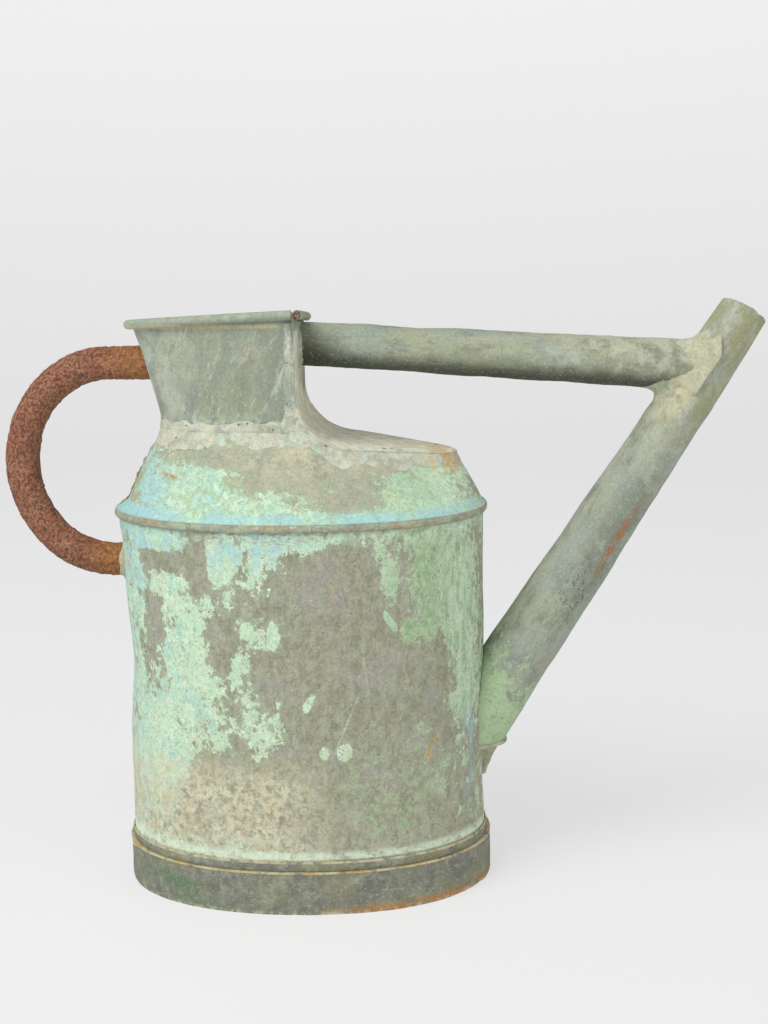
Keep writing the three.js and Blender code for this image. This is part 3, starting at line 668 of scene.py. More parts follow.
class Brush:
    """Builds one material's nodes. Places are in millimetres in the can's own frame."""

    def __init__(self, name: str) -> None:
        """Makes the material and the coordinates that its patterns read.

        Args:
            name: The material's name.
        """
        self.material = bpy.data.materials.new(name)
        self.material.use_nodes = True
        self.tree = self.material.node_tree
        self.tree.nodes.clear()
        self.out = self.add("ShaderNodeOutputMaterial")
        self.shader = self.add("ShaderNodeBsdfPrincipled")
        self.tree.links.new(self.shader.outputs[0], self.out.inputs[0])
        frame_mm = self.add("ShaderNodeMapping")
        frame_mm.inputs["Location"].default_value = (-DRUM_X, 0, 0)
        frame_mm.inputs["Scale"].default_value = (1000, 1000, 1000)
        self.tree.links.new(self.add("ShaderNodeTexCoord").outputs["Object"], frame_mm.inputs["Vector"])
        self.here = frame_mm.outputs["Vector"]
        split = self.add("ShaderNodeSeparateXYZ")
        self.tree.links.new(self.here, split.inputs[0])
        self.x, self.y, self.z = split.outputs

    def add(self, kind: str) -> bpy.types.Node:
        """Adds a node of a kind."""
        return self.tree.nodes.new(kind)

    def feed(self, node: bpy.types.Node, key: int | str, value: object) -> None:
        """Links a socket, or sets a plain value or tint, on a node's input.

        Args:
            node: The node.
            key: The input's number or name.
            value: A socket, a plain value or a tint.
        """
        target = node.inputs[key]
        if isinstance(value, Socket):
            self.tree.links.new(value, target)
        elif isinstance(value, Tint):
            target.default_value = value.rgba
        else:
            target.default_value = value

    def math(self, operation: str, a: object, b: object = 0.0) -> Socket:
        """One sum on numbers.

        Args:
            operation: The node's operation.
            a: The first number.
            b: The second number.

        Returns:
            The result.
        """
        node = self.add("ShaderNodeMath")
        node.operation = operation
        self.feed(node, 0, a)
        self.feed(node, 1, b)
        return node.outputs[0]

    def total(self, *terms: tuple[object, float]) -> Socket:
        """A weighted sum of sockets.

        Args:
            terms: Values, each with its weight.

        Returns:
            The sum.
        """
        result: object = 0.0
        for value, weight in terms:
            node = self.add("ShaderNodeMath")
            node.operation = "MULTIPLY_ADD"
            self.feed(node, 0, value)
            self.feed(node, 1, weight)
            self.feed(node, 2, result)
            result = node.outputs[0]
        return result

    def ramp(self, value: object, low: float, high: float) -> Socket:
        """A smooth rise from 0 at low to 1 at high; falls where high is below low.

        Args:
            value: What is read.
            low: Where the result is 0.
            high: Where the result is 1.

        Returns:
            The mask.
        """
        node = self.add("ShaderNodeMapRange")
        node.interpolation_type = "SMOOTHSTEP"
        flip = low > high
        self.feed(node, "Value", value)
        self.feed(node, "From Min", min(low, high))
        self.feed(node, "From Max", max(low, high))
        self.feed(node, "To Min", 1.0 if flip else 0.0)
        self.feed(node, "To Max", 0.0 if flip else 1.0)
        return node.outputs["Result"]

    def placed(self, size: float, stretch: Sequence[float], seed: float, turn: Sequence[float]) -> Socket:
        """Coordinates for a pattern of a size, stretched and turned.

        Args:
            size: How large the pattern is, in mm.
            stretch: How it is stretched on each axis.
            seed: Shifts the pattern.
            turn: Degrees that it is turned by on each axis.

        Returns:
            The coordinates.
        """
        node = self.add("ShaderNodeMapping")
        node.vector_type = "TEXTURE"
        self.feed(node, "Vector", self.here)
        node.inputs["Scale"].default_value = [size * s for s in stretch]
        node.inputs["Rotation"].default_value = [math.radians(t) for t in turn]
        node.inputs["Location"].default_value = [seed * k for k in (113.0, 71.0, 39.0)]
        return node.outputs[0]

    def clouds(
        self,
        size: float,
        detail: float = 4.0,
        rough: float = 0.55,
        stretch: Sequence[float] = (1, 1, 1),
        seed: float = 0.0,
        turn: Sequence[float] = (0, 0, 0),
        twist: float = 0.0,
    ) -> Socket:
        """Cloudy noise, about 0.3 to 0.7, whose blobs are about size mm.

        Args:
            size: How wide one blob is, in mm.
            detail: How many finer layers it has.
            rough: How strong those layers are.
            stretch: How it is stretched on each axis.
            seed: Shifts the pattern.
            turn: Degrees that it is turned by on each axis.
            twist: How far it is swirled.

        Returns:
            The noise.
        """
        node = self.add("ShaderNodeTexNoise")
        self.feed(node, "Vector", self.placed(size, stretch, seed, turn))
        for key, value in (("Scale", 1.0), ("Detail", detail), ("Roughness", rough), ("Distortion", twist)):
            self.feed(node, key, value)
        return node.outputs[0]

    def cells(self, size: float, seed: float) -> Socket:
        """Distance to the nearest cell's middle.

        Args:
            size: How wide one cell or blob is, in mm.
            seed: Shifts the pattern.

        Returns:
            The distance, in cells.
        """
        node = self.add("ShaderNodeTexVoronoi")
        node.feature = "F1"
        self.feed(node, "Vector", self.placed(size, (1, 1, 1), seed, (0, 0, 0)))
        self.feed(node, "Scale", 1.0)
        return node.outputs["Distance"]

    def patch(self, low: float, high: float, size: float, *shape: object, **more: object) -> Socket:
        """A mask of cloudy patches: 0 below low, 1 above high; size and the rest go to clouds."""
        return self.ramp(self.clouds(size, *shape, **more), low, high)

    def spot(
        self, centre: Sequence[float], radii: Sequence[float], lean: float = 0.0, soft: float = 0.5
    ) -> Socket:
        """A soft-edged ellipsoid: 1 inside, 0 outside.

        Args:
            centre: Its middle.
            radii: Its half sizes.
            lean: Degrees that it is turned by in the side view.
            soft: Width of its edge as a share of its size.

        Returns:
            The mask.
        """
        node = self.add("ShaderNodeMapping")
        node.vector_type = "TEXTURE"
        self.feed(node, "Vector", self.here)
        node.inputs["Location"].default_value = centre
        node.inputs["Scale"].default_value = [r * (1 + soft) for r in radii]
        node.inputs["Rotation"].default_value = (0, math.radians(lean), 0)
        ball = self.add("ShaderNodeTexGradient")
        ball.gradient_type = "SPHERICAL"
        self.feed(ball, "Vector", node.outputs[0])
        return self.ramp(ball.outputs["Fac"], 0, 2 * soft / (1 + soft))

    def mix(self, share: object, low: object, high: object, limit: float = 1.0) -> Socket:
        """Blends two colours.

        Args:
            share: How much of the second.
            low: The first colour.
            high: The second colour.
            limit: The most of the second that shows.

        Returns:
            The blended colour.
        """
        if limit != 1.0:
            share = self.math("MULTIPLY", share, limit)
        node = self.add("ShaderNodeMix")
        node.data_type = "RGBA"
        self.feed(node, 0, share)
        self.feed(node, 6, low)
        self.feed(node, 7, high)
        return node.outputs[2]

    def both(self, a: object, b: object) -> Socket:
        """One mask times another."""
        return self.math("MULTIPLY", a, b)

    def coat(self, colour: Socket, tint: object, limit: float, *masks: Socket) -> Socket:
        """Lays a tint over a colour where several masks meet.

        Args:
            colour: The colour below.
            tint: The colour or tint laid over it.
            limit: The most of the tint that shows.
            masks: The masks, which are multiplied.

        Returns:
            The blended colour.
        """
        share = masks[0]
        for mask in masks[1:]:
            share = self.both(share, mask)
        return self.mix(share, colour, tint, limit)

    def grain(self, colour: object, amount: float, seed: float) -> Socket:
        """Fine light and dark dust over a colour.

        Args:
            colour: The colour below.
            amount: How strongly it shows.
            seed: Shifts the pattern.

        Returns:
            The dusty colour.
        """
        dust = self.clouds(1.6, 4, 0.75, seed=seed + 0.5)
        grime = self.clouds(3.6, 6, 0.75, (1, 1, 1.5), seed + 0.7)
        colour = self.mix(self.ramp(grime, 0.5, 0.34), colour, Tint.CRACK, amount * 0.35)
        colour = self.mix(self.ramp(dust, 0.46, 0.3), colour, Tint.CRACK, amount * 0.7)
        return self.mix(self.ramp(dust, 0.54, 0.72), colour, Tint.SPECK, amount * 0.7)

    def along(self, origin: Sequence[float], direction: Sequence[float]) -> Socket:
        """Distance from a place in a direction.

        Args:
            origin: The place.
            direction: The direction, of any length.

        Returns:
            The distance in mm.
        """
        shift = self.add("ShaderNodeVectorMath")
        shift.operation = "SUBTRACT"
        self.feed(shift, 0, self.here)
        shift.inputs[1].default_value = origin
        dot = self.add("ShaderNodeVectorMath")
        dot.operation = "DOT_PRODUCT"
        self.feed(dot, 0, shift.outputs[0])
        dot.inputs[1].default_value = Vector(direction).normalized()
        return dot.outputs["Value"]

    def finish(
        self, colour: object, height: object, depth: float, dull: object = 0.85, shine: float = 0.3
    ) -> Material:
        """Ends the material.

        Args:
            colour: Its colour.
            height: Its relief, from 0 to 1.
            depth: How deep that relief is, in mm.
            dull: Its roughness.
            shine: Its specular level.

        Returns:
            The finished material.
        """
        bump = self.add("ShaderNodeBump")
        self.feed(bump, "Height", height)
        bump.inputs["Distance"].default_value = depth * MM
        self.feed(self.shader, "Base Color", colour)
        self.feed(self.shader, "Roughness", dull)
        self.shader.inputs["Specular IOR Level"].default_value = shine
        self.tree.links.new(bump.outputs[0], self.shader.inputs["Normal"])
        return self.material


@dataclass(frozen=True)
class Blotch:
    """A region where verdigris is thick or flaked off."""

    x: float
    z: float
    wide: float
    tall: float
    weight: float
    lean: float = 0.0
    soft: float = 0.6


@dataclass(frozen=True)
class Flaking:
    """Where ragged verdigris still covers the copper."""

    seed: int
    stretch: tuple[float, float, float] = (1, 1, 1.2)
    depth: float = 75.0
    side: float = -70.0

    def field(self, b: Brush, blotches: Sequence[Blotch], *more: tuple[object, float]) -> Socket:
        """Adds up noise at four sizes and the regions that help or hinder it.

        Args:
            b: The material's brush.
            blotches: The regions.
            more: Other masks with weights.

        Returns:
            A value that is about 1 at the flakes' edges.
        """
        result = b.total(
            (b.clouds(34, 3, 0.5, self.stretch, self.seed, twist=0.5), 0.3),
            (b.clouds(12, 5, 0.62, self.stretch, self.seed + 1, twist=0.3), 0.7),
            (b.clouds(4.6, 5, 0.66, self.stretch, self.seed + 2), 0.8),
            (b.clouds(1.8, 4, 0.66, seed=self.seed + 3), 0.3),
            *more,
        )
        for k in blotches:
            spot = b.spot((k.x, self.side, k.z), (k.wide, self.depth, k.tall), k.lean, k.soft)
            result = b.total((result, 1.0), (spot, k.weight))
        return result


# The value of Flaking.field at which bare copper turns into verdigris.
FLAKE_EDGE = 1.065


@dataclass(frozen=True)
class DrumFinish:
    """Flaking verdigris over brown-grey copper, on the drum's wall."""

    edge: float = FLAKE_EDGE
    blotches: tuple[Blotch, ...] = (
        Blotch(38, 150, 44, 92, -0.32), Blotch(30, 243, 24, 16, -0.3), Blotch(-6, 240, 12, 24, -0.08),
        Blotch(-84, 246, 20, 7, -0.32, 6), Blotch(-98, 259, 16, 7, 0.22), Blotch(-96, 230, 13, 9, 0.16),
        Blotch(-65, 247, 7, 16, -0.5), Blotch(-48, 251, 11, 17, 0.34, 0, 0.35), Blotch(-18, 253, 9, 13, 0.2),
        Blotch(4, 262, 22, 7, 0.24), Blotch(60, 252, 16, 12, 0.08), Blotch(66, 234, 7, 12, 0.26, 0, 0.4),
        Blotch(-82, 188, 18, 58, 0.17), Blotch(-97, 206, 8, 17, -0.2), Blotch(-64, 160, 12, 50, 0.08),
        Blotch(-50, 194, 9, 20, -0.24), Blotch(-62, 219, 12, 12, -0.06),
        Blotch(-31, 198, 5, 10, 0.16, 0, 0.35), Blotch(-13, 199, 4, 11, 0.22, 0, 0.35),
        Blotch(-22, 218, 22, 9, -0.12), Blotch(-34, 176, 10, 12, 0.12), Blotch(-16, 172, 16, 15, -0.22),
        Blotch(-24, 132, 16, 18, 0.12), Blotch(-48, 92, 52, 18, -0.28), Blotch(-10, 60, 96, 32, -0.32),
        Blotch(-99, 96, 19, 36, 0.5), Blotch(-76, 108, 9, 12, 0.16), Blotch(-52, 130, 8, 12, 0.12),
        Blotch(-36, 117, 8, 9, -0.16), Blotch(101, 232, 22, 44, 0.15), Blotch(82, 208, 8, 20, 0.08),
        Blotch(79, 199, 6, 9, 0.24, 0, 0.4), Blotch(93, 203, 6, 12, 0.2, 0, 0.4),
        Blotch(66, 206, 2.6, 8, 0.4, -30, 0.35), Blotch(115, 200, 9, 44, 0.12),
        Blotch(98, 150, 10, 34, -0.14), Blotch(104, 92, 20, 40, -0.05), Blotch(113, 146, 9, 26, 0.14),
        Blotch(95, 76, 7, 18, 0.14), Blotch(10, 151, 3.6, 9, 0.42, 30, 0.35),
        Blotch(20, 116, 3.6, 6, 0.42, 0, 0.3), Blotch(34, 116, 6, 7, 0.44, 0, 0.25),
    )

    def paint(self) -> Material:
        """Builds the material.

        Returns:
            The material.
        """
        b = Brush("flaking_verdigris")
        near = b.ramp(b.y, 30, -30)
        value = Flaking(200).field(
            b, self.blotches, (b.ramp(b.x, -104, -114), 0.1), (b.ramp(b.z, 262, 268), 0.08)
        )
        cover = b.ramp(value, self.edge, self.edge + 0.03)
        film = b.ramp(value, self.edge - 0.16, self.edge + 0.02)
        thick = b.ramp(value, self.edge + 0.02, self.edge + 0.26)
        pepper = b.patch(0.56, 0.64, 1.9, 4, 0.65, seed=5)
        pepper = b.both(pepper, b.patch(0.38, 0.58, 17, 3, seed=6))
        cover = b.both(cover, b.math("SUBTRACT", 1.0, b.math("MULTIPLY", pepper, 0.8)))

        colour = b.mix(cover, self.bare(b, film), self.crust(b, value, thick, near))
        colour = self.low_band(b, colour)
        haze = b.both(b.spot((66, -80, 82), (40, 60, 34)), b.patch(0.48, 0.6, 6, 7, 0.72, seed=39))
        colour = b.mix(haze, colour, Tint.LEAF, 0.7)
        colour = b.mix(self.near_marks(b, near), colour, Tint.OCHRE, 0.7)
        blue = b.spot((119, -42, 108), (4, 14, 34), 0, 0.7)
        colour = b.coat(colour, Tint.BLUE_STREAK, 0.7, blue, b.patch(0.42, 0.6, 6, 5, 0.65, (1, 1, 6), 17))
        colour = b.mix(self.scratch(b), colour, Tint.NECK_PALE, 0.8)
        line = b.both(b.ramp(b.z, 38.5, 40.0), b.ramp(b.z, 47, 42))
        line = b.both(line, b.patch(0.32, 0.52, 11, 5, 0.65, (1, 1, 0.5), 19))
        colour = b.mix(line, colour, Tint.PALE_MINT, 0.7)
        seam = b.both(b.ramp(b.z, 254, 266), b.patch(0.44, 0.58, 9, 6, 0.68, (1, 1, 0.7), 20))
        colour = b.coat(colour, Tint.TURQUOISE, 0.6, seam, b.ramp(b.x, 70, 0))
        colour = b.coat(colour, Tint.PALE_MINT, 0.55, seam, b.ramp(b.x, 20, 70))
        drip = b.both(b.ramp(b.z, 255, 267), b.patch(0.5, 0.62, 4.2, 4, 0.6, (1, 1, 0.35), 21))
        spots = b.total(
            (b.spot((-50, -80, 264), (16, 30, 12)), 1.0), (b.spot((-6, -90, 265), (24, 30, 10)), 0.9)
        )
        colour = b.coat(colour, Tint.ORANGE, 0.85, drip, spots)
        dots = b.both(b.ramp(b.cells(8, 22), 0.11, 0.06), b.patch(0.46, 0.6, 30, 2, seed=23))
        colour = b.mix(dots, colour, Tint.CRACK, 0.65)
        colour = b.grain(colour, 0.5, 27)
        flake = b.patch(0.48, 0.56, 4.6, 5, 0.62, (1, 1, 1.2), 202)
        relief = b.total((flake, 0.5), (b.clouds(2.2, 4, 0.7, seed=28), 0.7), (b.clouds(9, 5, seed=29), 0.3))
        return b.finish(colour, relief, 0.4, 0.9, 0.2)

    @staticmethod
    def bare(b: Brush, film: Socket) -> Socket:
        """The copper where the verdigris has gone, with a greenish film near the flakes.

        Args:
            b: The material's brush.
            film: A mask that reaches a little past the flakes.

        Returns:
            The blended colour.
        """
        mottle = b.clouds(6, 7, 0.76, (1, 1, 1.5), 8)
        bare = b.mix(b.ramp(mottle, 0.36, 0.64), Tint.BARE_DARK, Tint.BARE)
        bare = b.mix(b.patch(0.46, 0.66, 24, 4, seed=9), bare, Tint.BARE_MAUVE, 0.6)
        bare = b.mix(b.patch(0.5, 0.7, 16, 6, 0.64, (1, 1, 1.8), 24), bare, Tint.SPOUT_OLIVE, 0.35)
        bare = b.mix(b.patch(0.54, 0.72, 4.5, 5, 0.68, (1, 1, 5), 7), bare, Tint.TAN, 0.35)
        bare = b.mix(b.patch(0.58, 0.72, 2.2, 4, 0.7, seed=10), bare, Tint.CREAM, 0.4)
        return b.coat(bare, Tint.LEAF, 0.55, film, b.patch(0.4, 0.62, 5, 5, 0.7, seed=33))

    @staticmethod
    def crust(b: Brush, value: Socket, thick: Socket, near: Socket) -> Socket:
        """The verdigris itself: mint, turquoise at the left and top, leaf green at the right.

        Args:
            b: The material's brush.
            value: The flakes' field.
            thick: A mask of the thickest crust.
            near: A mask of the side that the photo shows.

        Returns:
            The blended colour.
        """
        crust = b.coat(
            Tint.MINT, Tint.TURQUOISE, 1.0, b.patch(0.44, 0.64, 24, 4, seed=11), b.ramp(b.x, -20, -80)
        )
        crust = b.mix(b.patch(0.46, 0.64, 8, 5, 0.62, seed=12), crust, Tint.PALE_MINT, 0.75)
        crust = b.mix(b.patch(0.5, 0.68, 11, 6, 0.68, (1, 1, 2), 25), crust, Tint.CREAM, 0.5)
        crust = b.mix(b.patch(0.5, 0.68, 6, 6, 0.7, seed=34), crust, Tint.LEAF, 0.45)
        top = b.both(b.ramp(b.z, 232, 262), b.ramp(b.x, 40, -30))
        crust = b.coat(crust, Tint.SKY, 0.8, top, b.patch(0.38, 0.58, 13, 4, seed=13))
        left = b.ramp(b.x, -96, -118)
        crust = b.coat(crust, Tint.SKY, 0.85, left, b.patch(0.42, 0.62, 6, 5, 0.65, (1, 1, 5), 14))
        right = b.ramp(b.x, 46, 84)
        fern = b.mix(b.patch(0.42, 0.58, 5, 7, 0.76, (1, 1, 1.6), 38), Tint.LEAF, Tint.FERN_DARK)
        crust = b.coat(crust, fern, 0.9, right, near)
        verge = b.both(b.ramp(b.x, 88, 116), b.patch(0.36, 0.56, 5, 6, 0.7, (1, 1, 3), 41))
        crust = b.mix(verge, crust, Tint.PALE_MINT, 0.6)
        crust = b.coat(
            crust, Tint.LEAF, 0.5, b.ramp(thick, 0.6, 0.1), b.patch(0.42, 0.62, 2.6, 5, 0.7, seed=26)
        )
        rim = b.both(b.ramp(value, FLAKE_EDGE, 1.085), b.ramp(value, 1.14, 1.1))
        crust = b.mix(rim, crust, Tint.PALE_MINT, 0.3)
        return b.mix(b.patch(0.54, 0.64, 1.8, 4, 0.7, seed=35), crust, Tint.BARE, 0.6)

    @staticmethod
    def low_band(b: Brush, colour: Socket) -> Socket:
        """Cream and brown mottling above the foot.

        Args:
            b: The material's brush.
            colour: The colour below.

        Returns:
            The blended colour.
        """
        cream = b.both(b.ramp(b.z, 122, 84), b.patch(0.4, 0.56, 5.2, 7, 0.74, seed=15))
        colour = b.coat(colour, Tint.CREAM, 0.85, cream, b.ramp(b.x, 40, -20))
        dust = b.both(b.ramp(b.z, 62, 44), b.patch(0.4, 0.56, 4.4, 6, 0.72, (1.6, 1.6, 1), 40))
        colour = b.coat(colour, Tint.PALE_MINT, 0.6, dust, b.ramp(b.x, 30, -30))
        rusty = b.both(b.ramp(b.z, 122, 84), b.patch(0.5, 0.66, 8, 6, 0.7, (1, 1, 1.8), 36))
        colour = b.coat(colour, Tint.OCHRE, 0.4, rusty, b.ramp(b.x, 40, -20))
        haze = b.both(b.ramp(b.z, 130, 56), b.patch(0.4, 0.6, 10, 6, 0.68, seed=37))
        colour = b.mix(haze, colour, Tint.TAN, 0.5)
        grit = b.both(b.ramp(b.z, 112, 48), b.patch(0.54, 0.66, 2.8, 5, 0.7, seed=16))
        return b.mix(grit, colour, Tint.HOOP_DARK, 0.5)

    @staticmethod
    def near_marks(b: Brush, near: Socket) -> Socket:
        """Ochre and orange marks on the near side.

        Args:
            b: The material's brush.
            near: A mask of the side that the photo shows.

        Returns:
            Their mask.
        """
        shape = b.patch(0.5, 0.62, 4, 5, 0.68, (1, 1, 2.4), 30)
        spots = b.total(
            (b.spot((92, -60, 116), (5, 40, 17)), 1.0),
            (b.spot((28, -90, 226), (2.6, 30, 8), 20), 0.9),
            (b.spot((-62, -84, 122), (9, 40, 18)), 0.6),
            (b.spot((-20, -90, 92), (10, 40, 22)), 0.5),
            (b.spot((44, -92, 200), (2.2, 20, 2.2), 0, 0.3), 1.0),
        )
        return b.both(b.both(shape, spots), near)

    @staticmethod
    def scratch(b: Brush) -> Socket:
        """The long pale scratch that leans across the bare middle.

        Args:
            b: The material's brush.

        Returns:
            Its mask.
        """
        line = b.spot((36, -92, 137), (0.75, 30, 23), 23, 0.8)
        upper = b.spot((49, -92, 172), (0.6, 30, 18), -6, 0.8)
        return b.both(b.total((line, 1.0), (upper, 0.6)), b.patch(0.34, 0.52, 4, 4, seed=31))


@dataclass(frozen=True)
class ShoulderFinish:
    """Verdigris on the shoulder: blue at the seam, bare and olive in front."""

    edge: float = FLAKE_EDGE
    blotches: tuple[Blotch, ...] = (
        Blotch(-72, 296, 36, 20, 0.18), Blotch(-14, 284, 34, 9, 0.2), Blotch(-4, 300, 7, 8, 0.1),
        Blotch(26, 300, 36, 17, -0.22), Blotch(-14, 306, 22, 8, -0.18), Blotch(92, 292, 32, 22, 0.12),
        Blotch(-40, 316, 50, 7, -0.22), Blotch(60, 312, 40, 7, -0.2),
    )

    def paint(self) -> Material:
        """Builds the material.

        Returns:
            The material.
        """
        b = Brush("shoulder_verdigris")
        value = Flaking(220, (1.3, 1.3, 1)).field(b, self.blotches, (b.ramp(b.z, 284, 277), 0.24))
        cover = b.ramp(value, self.edge, self.edge + 0.04)
        film = b.ramp(value, self.edge - 0.2, self.edge + 0.02)
        mottle = b.clouds(6, 6, 0.68, seed=44)
        bare = b.mix(b.ramp(mottle, 0.35, 0.65), Tint.BARE, Tint.NECK)
        bare = b.mix(b.patch(0.45, 0.65, 18, 4, seed=45), bare, Tint.TAN, 0.6)
        bare = b.mix(b.patch(0.54, 0.7, 2.4, 4, 0.7, seed=46), bare, Tint.BARE_DARK, 0.6)
        bare = b.coat(bare, Tint.LEAF, 0.6, film, b.patch(0.36, 0.6, 5, 5, 0.7, seed=56))
        crust = b.mix(b.patch(0.4, 0.6, 20, 4, seed=47), Tint.MINT, Tint.TURQUOISE)
        crust = b.mix(b.patch(0.48, 0.64, 8, 5, 0.62, seed=48), crust, Tint.PALE_MINT, 0.6)
        crust = b.mix(b.patch(0.42, 0.6, 5, 6, 0.7, seed=57), crust, Tint.LEAF, 0.8)
        crust = b.mix(b.ramp(b.x, 30, 84), crust, Tint.FERN, 0.5)
        verge = b.both(b.ramp(b.x, 84, 112), b.patch(0.36, 0.56, 5, 6, 0.7, seed=65))
        crust = b.mix(verge, crust, Tint.PALE_MINT, 0.6)
        crust = b.mix(b.ramp(b.x, -70, -112), crust, Tint.SKY, 0.7)
        crust = b.mix(b.patch(0.5, 0.64, 2.2, 5, 0.72, seed=58), crust, Tint.BARE, 0.6)
        colour = b.mix(cover, bare, crust)
        foot = b.both(b.ramp(b.z, 285, 277), b.patch(0.36, 0.54, 18, 5, 0.64, (1.4, 1.4, 0.6), 49))
        colour = b.mix(foot, colour, Tint.SKY, 0.7)
        colour = b.mix(b.patch(0.62, 0.7, 1.7, 3, 0.6, seed=50), colour, Tint.CRACK, 0.35)
        colour = self.ridge(b, colour)
        dash = b.both(b.spot((-88, -70, 303), (8, 40, 1.7), 10, 0.5), b.patch(0.34, 0.5, 3, 4, seed=59))
        colour = b.mix(dash, colour, Tint.ORANGE, 0.85)
        tip = b.both(b.spot((102, -14, 305), (12, 22, 8)), b.patch(0.4, 0.58, 6, 5, seed=54))
        colour = b.mix(tip, colour, Tint.OCHRE, 0.75)
        warm = b.both(b.spot((16, -60, 314), (60, 50, 11)), b.patch(0.42, 0.6, 8, 6, 0.66, seed=55))
        colour = b.mix(warm, colour, Tint.SOLDER_WARM, 0.6)
        colour = b.grain(colour, 0.5, 62)
        flake = b.patch(0.48, 0.56, 4.6, 5, 0.62, (1.3, 1.3, 1), 222)
        relief = b.total((flake, 0.5), (b.clouds(2.4, 4, 0.7, seed=43), 0.7), (mottle, 0.5))
        return b.finish(colour, relief, 0.4, 0.9, 0.2)

    @staticmethod
    def ridge(b: Brush, colour: Socket) -> Socket:
        """The folded seam: worn to grey-brown, with a little rust, and painted shade along its lower edge.

        Args:
            b: The material's brush.
            colour: The colour below.

        Returns:
            The blended colour.
        """
        ridge = b.both(b.ramp(b.z, 276.0, 274.6), b.ramp(b.z, 268, 269))
        worn = b.mix(b.patch(0.4, 0.6, 9, 6, 0.68, seed=51), Tint.BARE_DARK, Tint.BARE)
        worn = b.mix(b.patch(0.5, 0.64, 7, 5, 0.65, seed=52), worn, Tint.LEAF, 0.45)
        rust = b.both(b.patch(0.5, 0.64, 22, 4, 0.6, seed=63), b.patch(0.4, 0.6, 4, 4, seed=64))
        worn = b.mix(rust, worn, Tint.ORANGE, 0.55)
        # Painted shade: the ridge's lower edge, where it turns under, is darkened.
        worn = b.mix(b.ramp(b.z, 271.5, 270), worn, Tint.BARE_DARK, 0.5)
        worn = b.mix(b.patch(0.58, 0.68, 2.6, 4, 0.7, seed=53), worn, Tint.SPECK, 0.5)
        return b.mix(ridge, colour, worn, 0.95)


@dataclass(frozen=True)
class HoopFinish:
    """Dark olive foot with a pale line along its ledge and rust at the ground."""

    def paint(self) -> Material:
        """Builds the material.

        Returns:
            The material.
        """
        b = Brush("dark_foot")
        mottle = b.clouds(7, 7, 0.7, seed=61)
        colour = b.mix(b.ramp(mottle, 0.36, 0.64), Tint.HOOP_DARK, Tint.HOOP)
        colour = b.mix(b.patch(0.45, 0.62, 30, 4, seed=62), colour, Tint.HOOP_OLIVE, 0.8)
        colour = b.mix(b.patch(0.48, 0.66, 12, 6, 0.66, seed=69), colour, Tint.NECK, 0.5)
        green = b.both(b.spot((-84, -60, 12), (28, 40, 12), 14), b.patch(0.4, 0.58, 7, 6, 0.66, seed=63))
        colour = b.mix(green, colour, Tint.STAIN_GREEN, 0.8)
        scuff = b.patch(0.56, 0.68, 5, 5, 0.7, (2.5, 2.5, 1), 71)
        colour = b.mix(scuff, colour, Tint.BARE, 0.5)
        colour = b.mix(b.patch(0.65, 0.72, 1.6, 3, 0.65, seed=64), colour, Tint.CREAM, 0.6)
        colour = b.mix(b.patch(0.58, 0.7, 2.0, 4, 0.7, seed=65), colour, Tint.CRACK, 0.4)
        line = b.both(b.ramp(b.z, 29.4, 30.2), b.ramp(b.z, 31.5, 31.0))
        pan = b.both(b.ramp(b.z, 36.4, 37.2), b.ramp(b.z, 39.0, 38.2))
        edge = b.mix(b.patch(0.45, 0.62, 16, 4, seed=66), Tint.EDGE_CREAM, Tint.OCHRE)
        colour = b.coat(colour, edge, 0.8, line, b.patch(0.34, 0.5, 8, 5, 0.66, seed=67))
        colour = b.coat(colour, Tint.EDGE_CREAM, 0.7, pan, b.patch(0.36, 0.54, 8, 5, 0.66, seed=72))
        rust = b.both(b.ramp(b.z, 8.5, 1.0), b.ramp(b.x, 0, 60))
        colour = b.coat(colour, Tint.ORANGE, 0.95, rust, b.patch(0.32, 0.52, 8, 5, seed=68))
        colour = b.coat(colour, Tint.CREAM, 0.5, b.ramp(b.z, 4, 0.3), b.patch(0.46, 0.6, 5, 5, seed=70))
        colour = b.grain(colour, 0.5, 73)
        relief = b.total((mottle, 0.6), (b.clouds(2.2, 4, 0.7, seed=65), 0.6))
        return b.finish(colour, relief, 0.34, 0.75, 0.3)


